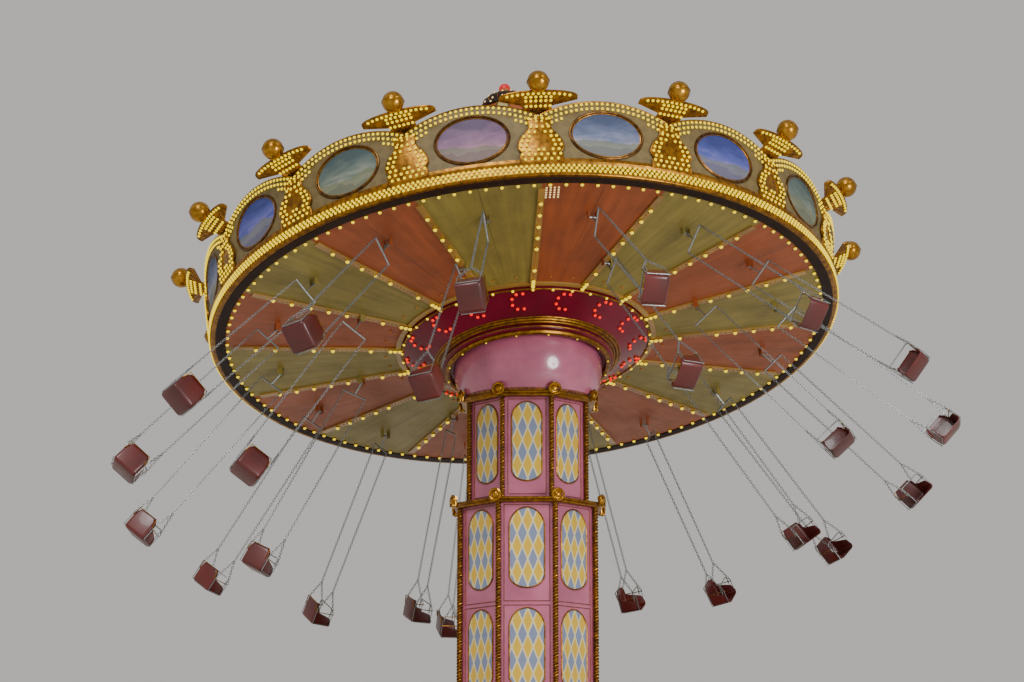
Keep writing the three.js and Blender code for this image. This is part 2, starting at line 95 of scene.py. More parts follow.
# Radii inside and outside a stage's wall, then of its columns, ledge and guide ring. Heights of the feet of
# its columns, wall and panels, and of its top. How many panels stand one above another.
STAGES = {
    "lower": (1.315, 1.360, 0.055, 1.540, 1.480, 0.9006, 0.960, 1.50, 4.074, 1),
    "middle": (1.150, 1.195, 0.050, 1.365, 1.3142, 3.624, 3.624, 4.10, 7.574, 2),
    "upper": (0.995, 1.040, 0.045, 1.240, 1.1492, 7.010, 7.010, 7.62, 9.410, 1),
}
LEDGE_HEIGHT = 0.09  # of a stage's guide ring too
HINGE_HALF = 0.06
CHAIN_HALF = 0.246
SPREADER = -0.25

GAP = 0.0003  # keeps a piece's face off the face that it stands on
ROUND = 192  # steps of a large turned piece
WELD = 0.00005
DOWN = 180  # lean of what hangs under the canopy
OUT = 90  # lean of what faces outwards
ROOF_PROFILE = [(r * RIM, h * RIM + GAP) for r, h in (
    (1.022, 0.046), (0.90, 0.105), (0.70, 0.205), (0.50, 0.345), (0.32, 0.53), (0.19, 0.72), (0.10, 0.87))]
JOINTS = {joint["name"]: joint for joint in frame["joints"]}
FINISHES = {}  # materials that several pieces share


def canopy_frame():
    """The canopy's own axes, from the joint that it spins on."""
    spin = JOINTS["canopy_spin"]
    up = Vector(spin["axis"]).normalized()
    side = Vector((1, 0, 0))
    axes = Matrix((side, up.cross(side), up)).transposed().to_4x4()
    return Matrix.Translation(spin["pos_m"]) @ axes


CANOPY = canopy_frame()
TOWER = Matrix()


def spot(angle, radius, height, lean=0.0, base=CANOPY, across=0.0):
    """A place on the canopy or the tower: its +Z leans outwards by so many degrees."""
    turn = Matrix.Rotation(math.radians(angle), 4, "Z")
    shift = Matrix.Translation((radius, across, height))
    return base @ turn @ shift @ Matrix.Rotation(math.radians(lean), 4, "Y")


def spots(angles, *place, **more):
    """The same place at each of the angles."""
    return [spot(angle, *place, **more) for angle in angles]


def ribs(offset=0.0):
    """Polar angles of the sixteen ribs, or of what stands beside each."""
    return [FIRST_RIB + (k + offset) * SECTOR_ANGLE for k in range(SECTORS)]


def ceiling_height(radius):
    return CEILING_SLOPE * (radius - RIM)


def profile(radius, height, *steps):
    """An outline whose steps out and up are counted from one edge."""
    return [(radius + out, height + up) for out, up in steps]


def oval(half_width, half_height, count, centre=0.0):
    """Points round an oval, across and up, against the clock from its right end."""
    turns = [math.tau * i / count for i in range(count)]
    return [(half_width * math.cos(a), centre + half_height * math.sin(a)) for a in turns]


def mirrored(right):
    """Points across and up, and the same on the left in the opposite order."""
    return [*right, *((-across, up) for across, up in reversed(right))]


# Modelling


def clear():
    """Leaves edit mode with nothing selected."""
    if bpy.context.object and bpy.context.object.mode != "OBJECT":
        bpy.ops.object.mode_set(mode="OBJECT")
    bpy.ops.object.select_all(action="DESELECT")


def pick(piece):
    """Selects one piece alone."""
    clear()
    piece.select_set(True)
    bpy.context.view_layer.objects.active = piece


def drawn(points):
    """A line of edges through the points, left in edit mode."""
    clear()
    bpy.ops.mesh.primitive_plane_add(size=1)
    bpy.ops.object.mode_set(mode="EDIT")
    bpy.ops.mesh.select_mode(type="VERT")
    bpy.ops.mesh.merge(type="CENTER")
    bpy.ops.transform.translate(value=points[0])
    for start, end in zip(points, points[1:]):
        step = Vector(end) - Vector(start)
        bpy.ops.mesh.extrude_vertices_move(TRANSFORM_OT_translate={"value": step})
    return bpy.context.object


def chosen(piece, kind, test):
    """Edit mode, with only the faces, edges or corners selected that pass the test."""
    pick(piece)
    bpy.ops.object.mode_set(mode="EDIT")
    bpy.ops.mesh.select_mode(type=kind)
    bpy.ops.mesh.select_all(action="DESELECT")
    bpy.ops.object.mode_set(mode="OBJECT")
    corners = piece.data.vertices
    items = {"FACE": piece.data.polygons, "EDGE": piece.data.edges, "VERT": corners}[kind]
    for item in items:
        points = [item.co] if kind == "VERT" else [corners[i].co for i in item.vertices]
        item.select = all(test(*point) for point in points)
    bpy.ops.object.mode_set(mode="EDIT")


def sealed():
    """Welds the active mesh, faces it outwards and returns it in object mode."""
    bpy.ops.object.mode_set(mode="EDIT")
    bpy.ops.mesh.select_all(action="SELECT")
    bpy.ops.mesh.remove_doubles(threshold=WELD)
    bpy.ops.mesh.normals_make_consistent(inside=False)
    bpy.ops.object.mode_set(mode="OBJECT")
    return bpy.context.object


def turned(outline, steps=ROUND, first_angle=0.0, base=CANOPY):
    """A closed outline of radii and heights, spun about the axis."""
    piece = drawn([(r, 0, z) for r, z in [*outline, outline[0]]])
    bpy.ops.mesh.select_all(action="SELECT")
    bpy.ops.mesh.spin(steps=steps, angle=math.tau, center=(0, 0, 0), axis=(0, 0, 1))
    sealed()
    piece.data.transform(base @ Matrix.Rotation(math.radians(first_angle), 4, "Z"))
    return piece


def hoop(radius, height, size, steps=ROUND, base=CANOPY):
    """A round moulding that runs all the way round."""
    return turned([(radius + out, up) for out, up in oval(size, size, 8, height)], steps, base=base)


def plate(points, thickness):
    """A flat plate drawn across and up, and thickened outwards."""
    drawn([(0, across, up) for across, up in points])
    bpy.ops.mesh.select_all(action="SELECT")
    bpy.ops.mesh.edge_face_add()
    bpy.ops.mesh.extrude_region_move(TRANSFORM_OT_translate={"value": (thickness, 0, 0)})
    return sealed()


def block(low, high):
    """A box between two corners."""
    clear()
    size = Vector(high) - Vector(low)
    bpy.ops.mesh.primitive_cube_add(size=1, location=(Vector(low) + Vector(high)) / 2)
    bpy.ops.object.mode_set(mode="EDIT")
    bpy.ops.transform.resize(value=size)
    bpy.ops.object.mode_set(mode="OBJECT")
    bpy.ops.object.transform_apply(location=True)
    return bpy.context.object


def sphere(segments, rings, radius):
    """A ball about the origin."""
    clear()
    bpy.ops.mesh.primitive_uv_sphere_add(segments=segments, ring_count=rings, radius=radius)
    return bpy.context.object


def modified(piece, kind, **settings):
    """Applies a modifier of this kind."""
    pick(piece)
    modifier = piece.modifiers.new(kind.title(), kind)
    for name, value in settings.items():
        setattr(modifier, name, value)
    bpy.ops.object.modifier_apply(modifier=modifier.name)
    return piece


def softened(piece, width, segments=2):
    """Rounds the edges that are sharper than 40 degrees."""
    return modified(piece, "BEVEL", width=width, segments=segments, limit_method="ANGLE",
                    angle_limit=math.radians(40))


def bead(points, radius, cyclic=False, resolution=1):
    """A round moulding along a line of points."""
    drawn([*points, points[0]] if cyclic else points)
    bpy.ops.mesh.select_all(action="SELECT")
    bpy.ops.mesh.remove_doubles(threshold=WELD)
    bpy.ops.object.mode_set(mode="OBJECT")
    bpy.ops.object.convert(target="CURVE")
    line = bpy.context.object.data
    line.bevel_depth, line.bevel_resolution = radius, resolution
    line.use_fill_caps = True
    bpy.ops.object.convert(target="MESH")
    return bpy.context.object


def painted(piece, *finishes):
    """Gives a piece its materials, shared ones by their names in FINISHES."""
    for finish in finishes:
        piece.data.materials.append(FINISHES.get(finish, finish))
    return piece


def joined(*pieces):
    """Several pieces as one object, the first."""
    pick(pieces[0])
    for other in pieces[1:]:
        other.select_set(True)
    bpy.ops.object.join()
    return bpy.context.object


def array_of(source, places):
    """One object that holds a copy of the source at every place, in the source's stead."""
    mesh = source.data
    count, faces, loops = len(mesh.vertices), len(mesh.polygons), len(mesh.loops)
    total = len(places)

    def read(items, field, size, kind=np.int32):
        values = np.empty(size, kind)
        items.foreach_get(field, values)
        return values

    def tiled(items, field, size, step=0, kind=np.int32):
        values = np.tile(read(items, field, size, kind), total)
        return values + np.repeat(np.arange(total), size) * step if step else values

    corners = np.c_[read(mesh.vertices, "co", count * 3, np.float32).reshape(-1, 3), np.ones(count)]
    whole = bpy.data.meshes.new(source.name)
    whole.vertices.add(count * total)
    whole.loops.add(loops * total)
    whole.polygons.add(faces * total)
    moved = np.concatenate([corners @ np.array(place).T for place in places])[:, :3]
    whole.vertices.foreach_set("co", moved.astype(np.float32).ravel())
    whole.loops.foreach_set("vertex_index", tiled(mesh.loops, "vertex_index", loops, count))
    whole.polygons.foreach_set("loop_start", tiled(mesh.polygons, "loop_start", faces, loops))
    whole.polygons.foreach_set("material_index", tiled(mesh.polygons, "material_index", faces))
    if mesh.uv_layers:
        layer = whole.uv_layers.new(name="UVMap")
        layer.data.foreach_set("uv", tiled(mesh.uv_layers[0].data, "uv", loops * 2, kind=np.float32))
    for finish in mesh.materials:
        whole.materials.append(finish)
    whole.update(calc_edges=True)
    source.data = whole
    bpy.data.meshes.remove(mesh)
    return source


def laid_flat(piece, top):
    """Gives a plate a UV map in metres: across, and up from the plate's top."""
    layer = piece.data.uv_layers.active or piece.data.uv_layers.new(name="UVMap")
    for loop in piece.data.loops:
        corner = piece.data.vertices[loop.vertex_index].co
        layer.data[loop.index].uv = (corner.y, corner.z - top)
    return piece


def curled(piece, foot_radius, cuts=0):
    """Bends a flat piece round the canopy's axis and leans it as the picture boards do."""
    pick(piece)
    bpy.ops.object.mode_set(mode="EDIT")
    for i in range(1, cuts):
        across = BOARD_HALF * (2 * i / cuts - 1)
        bpy.ops.mesh.select_all(action="SELECT")
        bpy.ops.mesh.bisect(plane_co=(0, across, 0), plane_no=(0, 1, 0))
    bpy.ops.object.mode_set(mode="OBJECT")
    for corner in piece.data.vertices:
        out, across, up = corner.co
        radius = foot_radius + out + (up - FOOT_HEIGHT) * math.tan(BOARD_LEAN)
        turn = across / BOARD_RADIUS
        corner.co = (radius * math.cos(turn), radius * math.sin(turn), up)
    return piece


def settle(piece, name, body, finishes, stands_for=(), angle=35):
    """Names a finished piece, smooths and paints it, and lets it ride on its body."""
    pick(piece)
    piece.name = piece.data.name = name
    bpy.ops.object.shade_smooth_by_angle(angle=math.radians(angle))
    painted(piece, *finishes)
    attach(piece, body)
    if stands_for:
        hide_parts(*stands_for)
    return piece


def repaint(finish, *names):
    """Paints nodes of the solid model that stay as they are."""
    for name in names:
        for slot in frame["nodes"][name].material_slots:
            slot.material = FINISHES.get(finish, finish)


# Paint


def linear(code):
    """An sRGB hex colour as linear red, green, blue and alpha. A linear colour stays as it is."""
    if not isinstance(code, str):
        return tuple(code)
    channels = [int(code[i:i + 2], 16) / 255 for i in (1, 3, 5)]
    return tuple(c / 12.92 if c <= 0.04045 else ((c + 0.055) / 1.055) ** 2.4 for c in channels) + (1.0,)


def mix(colour, other, share):
    """A colour this share of the way to another."""
    return tuple(a + (b - a) * share for a, b in zip(linear(colour), linear(other)))


def add_node(finish, kind, *values, stops=(), **settings):
    """Adds a node to a material, with its settings, its values and its links.

    A word after the kind is the node's operation. The values go to the first sockets in turn, or to
    named sockets where they come as a dictionary.
    """
    kind, _, operation = kind.partition(" ")
    step = finish.node_tree.nodes.new("ShaderNode" + kind)
    if operation:
        step.operation = operation
    for setting, value in settings.items():
        setattr(step, setting, value)
    named = values[0] if values and isinstance(values[0], dict) else dict(enumerate(values))
    for socket, value in named.items():
        if isinstance(value, bpy.types.Node):
            value = value.outputs[0]
        if isinstance(value, bpy.types.NodeSocket):
            finish.node_tree.links.new(value, step.inputs[socket])
        else:
            step.inputs[socket].default_value = linear(value) if isinstance(value, str) else value
    for i, (position, colour) in enumerate(stops):
        elements = step.color_ramp.elements
        stop = elements[i] if i < 2 else elements.new(position)
        stop.position, stop.color = position, linear(colour)
    return step


def blank(name):
    """An empty material, and add_node for it."""
    finish = bpy.data.materials.new(name)
    finish.use_nodes = True
    finish.node_tree.nodes.clear()
    return finish, partial(add_node, finish)


def shaded(finish, colour, roughness, patch=0.6, grime=0.25, grain=0.004, relief=0.0004, height=None,
           **sockets):
    """Ends a material: the colour darkens in soft patches, the gloss wanders and the surface is uneven.

    patch and grain are the real sizes of the stains and of the surface's grain, in metres.
    """
    add = partial(add_node, finish)
    where = add("TexCoord").outputs["Object"]
    stains = add("TexNoise", {"Vector": where, "Scale": 1 / patch, "Detail": 5.0, "Roughness": 0.62})
    fine = add("TexNoise", {"Vector": where, "Scale": 1 / grain, "Detail": 2.0})
    depth = add("MapRange", stains, 0.42, 0.72, 0.0, grime)
    stained = add("MixRGB", depth, colour, "#2a2018")
    gloss = add("MapRange", stains, 0.3, 0.7, *roughness)
    bump = add("Bump", {"Height": fine, "Strength": 0.6, "Distance": relief})
    if height:
        bump = add("Bump", {"Height": height, "Strength": 1.0, "Distance": 0.004, "Normal": bump})
    shader = add("BsdfPrincipled", {"Base Color": stained, "Roughness": gloss, "Normal": bump})
    for socket, value in sockets.items():
        shader.inputs[socket.replace("_", " ")].default_value = value
    add("OutputMaterial", shader)
    return finish


def two_tone(name, first, second, size, roughness, **looks):
    """A material whose colour wanders between two tones over the given size."""
    finish, add = blank(name)
    where = add("TexCoord").outputs["Object"]
    noise = add("TexNoise", {"Vector": where, "Scale": 1 / size, "Detail": 3.0})
    colour = add("ValToRGB", noise, stops=((0.35, first), (0.65, second)))
    return shaded(finish, colour, roughness, **looks)


def gloss_enamel(name, first, second, roughness=(0.14, 0.3), coat=0.6, specular=0.5):
    """Sprayed two-pack enamel on sheet steel or glass fibre: deep gloss with a faint orange peel."""
    return two_tone(name, first, second, 0.9, roughness, grime=0.2, grain=0.006,
                    Coat_Weight=coat, Coat_Roughness=0.08, Specular_IOR_Level=specular)


def gilding(name, first, second, roughness=(0.28, 0.45)):
    """Imitation gold leaf on carved glass fibre: metallic, uneven, darker where it has worn."""
    return two_tone(name, first, second, 0.08, roughness, patch=0.25, grime=0.35,
                    grain=0.012, relief=0.0012, Metallic=0.85)


def painted_steel(name, first, second, specular=0.5):
    """Satin industrial paint on rolled steel: low gloss, slightly pitted."""
    return two_tone(name, first, second, 0.5, (0.42, 0.6), grain=0.005, relief=0.0006,
                    Specular_IOR_Level=specular)


def galvanised():
    """Hot-dip zinc on chain and tube: grey spangle, dull metal."""
    finish, add = blank("galvanised_steel")
    where = add("TexCoord").outputs["Object"]
    # Zinc spangle is about 10 mm across
    spangle = add("TexVoronoi", {"Vector": where, "Scale": 1 / 0.010})
    colour = add("ValToRGB", spangle.outputs["Color"], stops=((0.2, "#7c8082"), (0.8, "#a4a7a6")))
    return shaded(finish, colour, (0.35, 0.55), grime=0.15, Metallic=0.9)


def sector_place(add):
    """Where a point lies on the canopy: sectors from the first rib, radius and height."""
    where = add("TexCoord").outputs["Object"]
    local = add("Mapping", {"Vector": where, "Location": CANOPY.translation, "Rotation": CANOPY.to_euler()},
                vector_type="TEXTURE")
    x, y, height = add("SeparateXYZ", local).outputs
    turn = add("Math SUBTRACT", add("Math ARCTAN2", y, x), math.radians(FIRST_RIB))
    sector = add("Math DIVIDE", turn, math.radians(SECTOR_ANGLE))
    radius = add("VectorMath LENGTH", add("CombineXYZ", x, y)).outputs["Value"]
    return sector, radius, height


def off_middle(add, sector):
    """How far a point lies off the middle of its sector, as a share of the sector."""
    return add("Math SUBTRACT", add("Math FRACT", sector), 0.5)


def by_turns(add, number, first, second):
    """The first colour where a whole number is even, the second where it is odd."""
    return add("MixRGB", add("Math FLOORED_MODULO", number, 2.0), first, second)


def streaked(add, place, stretch, detail=4.0):
    """Noise drawn out along a direction: how often it changes in a metre, or a sector, each way."""
    run = add("VectorMath MULTIPLY", place, stretch)
    return add("TexNoise", {"Vector": run, "Scale": 1.0, "Detail": detail})


def quilted(add, place, pitch):
    """A wave across and a wave up multiplied, each as long as the pitch."""
    scaled = add("VectorMath MULTIPLY", place, (math.tau / pitch, math.tau / pitch, 0.0))
    x, y, _ = add("SeparateXYZ", add("VectorMath SINE", scaled)).outputs
    return add("Math MULTIPLY", x, y)


def ceiling_paint(first, second, seam):
    """Satin paint on plywood panels: two colours by turns, a dark seam down the middle of each."""
    finish, add = blank("satin_paint_on_plywood_ceiling")
    sector, radius, _ = sector_place(add)
    # Brush and roller streaks run outwards, 6 to 15 cm wide with finer ones between
    streaks = streaked(add, add("CombineXYZ", sector, radius), (14.0, 0.7, 1.0))
    tones = [add("ValToRGB", streaks, stops=((0.3, low), (0.75, high))) for low, high in (first, second)]
    panels = by_turns(add, add("Math FLOOR", sector), *tones)
    # The joint between two sheets of a panel is about 8 mm wide at the edge of the canopy
    joint = add("Math LESS_THAN", add("Math ABSOLUTE", off_middle(add, sector)), 0.002)
    colour = add("MixRGB", joint, panels, seam)
    return shaded(finish, colour, (0.38, 0.55), patch=0.8, grime=0.3, grain=0.008)


def roof_paint(first, second):
    """Satin paint on plywood gores: two colours by turns."""
    finish, add = blank("satin_paint_on_roof_gores")
    sector, radius, _ = sector_place(add)
    gores = by_turns(add, add("Math FLOOR", sector), first, second)
    # Rain has drawn streaks down the gores
    streaks = streaked(add, add("CombineXYZ", sector, radius), (18.0, 0.5, 1.0))
    share = add("MapRange", streaks, 0.5, 0.75, 0.0, 0.35)
    return shaded(finish, add("MixRGB", share, gores, "#6d5f4c"), (0.4, 0.6), patch=0.9, grime=0.2)


def picture_paint(ground, ground_dark, skies, hills):
    """Sign-writer's enamel on a board: a twilight landscape in an oval, on a patterned ground."""
    finish, add = blank("signwriters_enamel_on_board")
    sector, _, height = sector_place(add)
    across = add("Math MULTIPLY", off_middle(add, sector), 2 * BOARD_HALF)
    up = add("Math SUBTRACT", height, PICTURE["centre"])
    number = add("Math FLOOR", sector)
    kind = add("Math FLOORED_MODULO", number, float(len(skies)))
    place = add("CombineXYZ", across, up, number)
    # Clouds about half a metre long and a third of that high, drawn out along the horizon
    clouds = streaked(add, place, (2.2, 6.5, 3.1), 3.0)
    clouds.inputs["Distortion"].default_value = 0.6
    level = add("MapRange", up, -0.3, 0.36)
    depth = add("Math SUBTRACT", add("Math MULTIPLY_ADD", clouds, 0.9, level), 0.45)
    ramps = [add("ValToRGB", depth, stops=((0.12, low), (0.85, high), (0.45, middle)))
             for low, middle, high in skies]
    sky = ramps[0]
    for i, ramp in enumerate(ramps[1:]):
        sky = add("MixRGB", add("Math GREATER_THAN", kind, i + 0.5), sky, ramp)
    # Two ranges of hills, their crests half a metre to a metre apart
    picture = sky
    for size, base, tone in ((1.6, -0.31, hills[0]), (2.6, -0.41, hills[1])):
        ridge = streaked(add, place, (size, 0.0, 5.7 * size), 3.0)
        skyline = add("Math MULTIPLY_ADD", ridge, 0.42, base)
        below = add("Math GREATER_THAN", skyline, up)
        picture = add("MixRGB", below, picture, add("MixRGB", 0.35, tone, sky))
    # The ground round the picture has a lozenge pattern about 130 mm across
    slanted = add("Mapping", {"Vector": place, "Rotation": (0, 0, math.pi / 4)})
    lozenges = add("ValToRGB", quilted(add, slanted, 0.26), stops=((0.05, ground), (0.35, ground_dark)))
    share = (1 / PICTURE["half_width"], 1 / PICTURE["half_height"], 0.0)
    reach = add("VectorMath LENGTH", add("VectorMath MULTIPLY", place, share)).outputs["Value"]
    colour = add("MixRGB", add("Math GREATER_THAN", reach, 1.0), picture, lozenges)
    return shaded(finish, colour, (0.55, 0.7), patch=0.5, grime=0.12, grain=0.006)


def harlequin_paint(yellow, blue, cream):
    """Gloss enamel in diamonds 0.18 m wide and 0.44 m tall, with a painted lattice between."""
    finish, add = blank("harlequin_gloss_enamel")
    where = add("TexCoord").outputs["UV"]
    scaled = add("VectorMath MULTIPLY", where, (1 / 0.178, 1 / 0.437, 0.0))
    u, v, _ = add("SeparateXYZ", scaled).outputs
    slants = [add(f"Math {way}", u, v) for way in ("ADD", "SUBTRACT")]
    cells = [add("Math FLOOR", slant) for slant in slants]
    lines = [add("Math LESS_THAN", add("Math FRACT", slant), 0.15) for slant in slants]
    diamonds = by_turns(add, add("Math ADD", *cells), blue, yellow)
    colour = add("MixRGB", add("Math MAXIMUM", *lines), diamonds, cream)
    return shaded(finish, colour, (0.16, 0.3), grime=0.1, Coat_Weight=0.5)


def plank_paint(first, second):
    """Oiled softwood deck boards, 140 mm wide, with dark gaps and long grain."""
    finish, add = blank("oiled_softwood_deck_boards")
    x, y, _ = add("SeparateXYZ", add("TexCoord").outputs["Object"]).outputs
    board = add("Math DIVIDE", y, 0.14)
    gap = add("Math LESS_THAN", add("Math FRACT", board), 0.05)
    # Flat-sawn grain shows as lines about 20 mm apart along a board, with finer ones between
    grain = streaked(add, add("CombineXYZ", x, y, add("Math FLOOR", board)), (1.2, 60.0, 7.3), 5.0)
    wood = add("ValToRGB", grain, stops=((0.3, first), (0.7, second)))
    colour = add("MixRGB", gap, wood, "#15110d")
    return shaded(finish, colour, (0.5, 0.75), patch=0.5, grime=0.35, grain=0.003)


def tread_plate():
    """Rolled aluminium tread plate: raised studs about 40 mm apart, scuffed bright on top."""
    finish, add = blank("aluminium_tread_plate")
    raised = quilted(add, add("TexCoord").outputs["Object"], 0.06)
    height = add("MapRange", raised, 0.25, 0.6)
    colour = add("ValToRGB", height, stops=((0.0, "#77787a"), (1.0, "#a9aaab")))
    return shaded(finish, colour, (0.3, 0.5), grime=0.3, height=height, Metallic=0.9)


def lit_glass(name, colour, strength):
    """Moulded polycarbonate cap over a lamp: pressed prisms 9 mm across, glowing all over."""
    finish, add = blank(name)
    prisms = add("TexVoronoi", {"Vector": add("TexCoord").outputs["Object"], "Scale": 1 / 0.009})
    bump = add("Bump", {"Height": prisms, "Strength": 0.8, "Distance": 0.002})
    tint = add("ValToRGB", prisms, stops=(
        (0.0, mix(colour, "#000000", 0.55)), (0.7, mix(colour, "#000000", 0.8))))
    shader = add("BsdfPrincipled", {"Base Color": tint, "Roughness": 0.35, "Normal": bump,
                                    "Emission Color": colour, "Emission Strength": strength})
    add("OutputMaterial", shader)
    return finish


# Sizes and colours a user would change


def length(name, description, default):
    return bpy.props.FloatProperty(
        name=name, description=description, default=default, min=0.0, unit="LENGTH")


def shade(name, description, code):
    return bpy.props.FloatVectorProperty(
        name=name, description=description, default=linear(code), size=4, min=0.0, max=1.0, subtype="COLOR")


class CarouselLampSettings(bpy.types.PropertyGroup):
    width: length("Lamp width", "Width of a lamp's glass cap", 0.052)
    pitch: length("Lamp pitch", "Distance between two lamps of a row", 0.083)
    glow: bpy.props.FloatProperty(name="Glow", description="Brightness of the lamps", default=1.3, min=0.0)
    yellow: shade("Yellow glass", "Colour of most of the lamps", "#ffdc00")
    red: shade("Red glass", "Colour of the crescents under the drum", "#ff0a04")
    white: shade("White glass", "Colour of the few warm white lamps", "#ffd995")


class CarouselCanopySettings(bpy.types.PropertyGroup):
    gold: shade("Gold", "Gilded mouldings", "#a87420")
    gold_dark: shade("Dark gold", "Gilding in the hollows", "#704812")
    brick: shade("Brick", "Every other ceiling panel", "#a04e22")
    olive: shade("Olive", "Ceiling panels between", "#8f7f36")
    fascia: shade("Fascia", "Dark band over the ceiling's edge", "#1d0d08")
    maroon: shade("Maroon", "Drum in the middle of the ceiling", "#5a0b1c")
    ground: shade("Board ground", "Ground round the pictures", "#6b5a33")


class CarouselTowerSettings(bpy.types.PropertyGroup):
    pink: shade("Pink", "Tower walls and bowl", "#b9637e")
    rope_pitch: length("Rope pitch", "Length of one turn of the rope columns", 0.16)
    panel_share: bpy.props.FloatProperty(
        name="Panel share", description="Width of an arched panel over that of its face",
        default=0.65, min=0.2, max=0.8)


class CarouselChairSettings(bpy.types.PropertyGroup):
    shell: shade("Shell", "Seats", "#5e1613")
    link: length("Link pitch", "Distance between two links of a chain", 0.052)


class CarouselBaseSettings(bpy.types.PropertyGroup):
    wood: shade("Wood", "Deck boards", "#7a6248")
    skirt: shade("Skirt", "Panels under the deck's edge", "#6a1524")


class CarouselStageSettings(bpy.types.PropertyGroup):
    floor: shade("Floor", "Studio floor", "#d8d5cf")
    sky: shade("Backdrop", "Studio backdrop", "#dcdad6")


def mix_finishes(scene):
    """Makes the materials that several pieces share."""
    canopy, glass, tower = scene.carousel_canopy, scene.carousel_lamps, scene.carousel_tower
    FINISHES.update(
        gilt=gilding("gold_leaf_paint", canopy.gold, canopy.gold_dark),
        brass=gilding("polished_brass", "#bb8a2c", "#966519", (0.16, 0.3)),
        # Dark bronze: the own colour of the oval rings round the pictures, and painted shade in the hollows
        # of the rope columns
        bronze=gilding("aged_bronze_paint", "#6e4a1e", "#452c12"),
        pink=gloss_enamel("pink_gloss_enamel", tower.pink, mix(tower.pink, "#7c2d4d", 0.45)),
        fascia=painted_steel("dark_brown_paint", canopy.fascia, "#28140c", 0.15),
        steel=painted_steel("grey_painted_steel", "#46494c", "#5a5d60"),
        zinc=galvanised(),
        amber=lit_glass("amber_polycarbonate_cap", "#e8820f", glass.glow * 0.12),
        beacon=lit_glass("red_beacon_glass", glass.red, glass.glow * 0.35))
    for name in ("yellow", "red", "white"):
        FINISHES[name] = lit_glass(f"{name}_polycarbonate_cap", getattr(glass, name), glass.glow)


def lamp(width):
    """A lamp's glass cap in its brass collar, standing on height 0."""
    collar = 0.25 * width
    cap = sphere(8, 6, width / 2)
    bpy.ops.object.mode_set(mode="EDIT")
    bpy.ops.mesh.select_all(action="SELECT")
    bpy.ops.mesh.bisect(plane_co=(0, 0, 0), plane_no=(0, 0, 1), clear_inner=True)
    bpy.ops.mesh.extrude_edges_move(TRANSFORM_OT_translate={"value": (0, 0, -collar)})
    bpy.ops.mesh.select_all(action="SELECT")
    bpy.ops.transform.translate(value=(0, 0, collar))
    bpy.ops.object.mode_set(mode="OBJECT")
    for face in cap.data.polygons:
        face.material_index = 1 if face.center.z < 0.8 * collar else 0
    return cap


def lamps(name, places, body="canopy", glass="yellow", share=1.0):
    """A group of lamps, one at each place, their width a share of the usual one."""
    width = bpy.context.scene.carousel_lamps.width * share
    return settle(array_of(lamp(width), places), name, body, [glass, "brass"])


def spread(half, pitch):
    """Evenly spaced offsets across a row of lamps."""
    last = max(1, round(2 * half / pitch))
    return [half * (2 * i / last - 1) for i in range(last + 1)]


class CarouselStage(bpy.types.Operator):
    """Lay the floor and set up the lights and the camera"""
    bl_idname = "carousel.stage"
    bl_label = "Stage"

    def execute(self, context):
        looks = context.scene.carousel_stage
        clear()
        bpy.ops.mesh.primitive_circle_add(vertices=64, radius=400, fill_type="NGON")
        floor = context.object
        floor.name = "studio_floor"
        finish, _ = blank("matt_studio_floor")
        shaded(finish, linear(looks.floor), (0.75, 0.9), patch=6.0, grime=0.03, grain=0.05, relief=0.0002)
        floor.data.materials.append(finish)

        world = bpy.data.worlds.new("studio")
        context.scene.world = world
        world.use_nodes = True
        background = world.node_tree.nodes["Background"]
        background.inputs["Color"].default_value = looks.sky
        background.inputs["Strength"].default_value = 0.75

        clear()
        bpy.ops.object.light_add(
            type="SUN", location=(-20, -30, 40), rotation=(math.radians(48), 0, math.radians(-35)))
        context.object.name = "key_light"
        context.object.data.energy = 2.2
        context.object.data.angle = math.radians(25)
        bpy.ops.object.light_add(type="AREA", location=(15, -38, 10))
        fill = context.object
        fill.name = "fill_light"
        fill.data.shape = "DISK"
        fill.data.energy, fill.data.size = 8500, 12
        towards = Vector((0, 0, 11)) - fill.location
        fill.rotation_euler = towards.to_track_quat("-Z", "Y").to_euler()

        # Fitted to the ribs and rings of the photograph, from below: distances in radii of the lamp ring
        bpy.ops.object.camera_add()
        camera = context.object
        camera.name = "camera"
        pitch = math.radians(12.5)
        level, right = Vector((0.2773, 0.9608, 0)), Vector((0.9608, -0.2773, 0))
        forward = level * math.cos(pitch) + Vector((0, 0, math.sin(pitch)))
        down = level * math.sin(pitch) - Vector((0, 0, math.cos(pitch)))
        aside, lowered, away = 0.04424, 0.02117, 8.84293
        camera.location = CANOPY.translation - RIM * (aside * right - lowered * down + away * forward)
        camera.rotation_euler = Matrix((right, -down, -forward)).transposed().to_euler()
        camera.data.lens, camera.data.sensor_width = 92.1, 36
        camera.data.clip_end = 1000
        context.scene.camera = camera
        return {"FINISHED"}


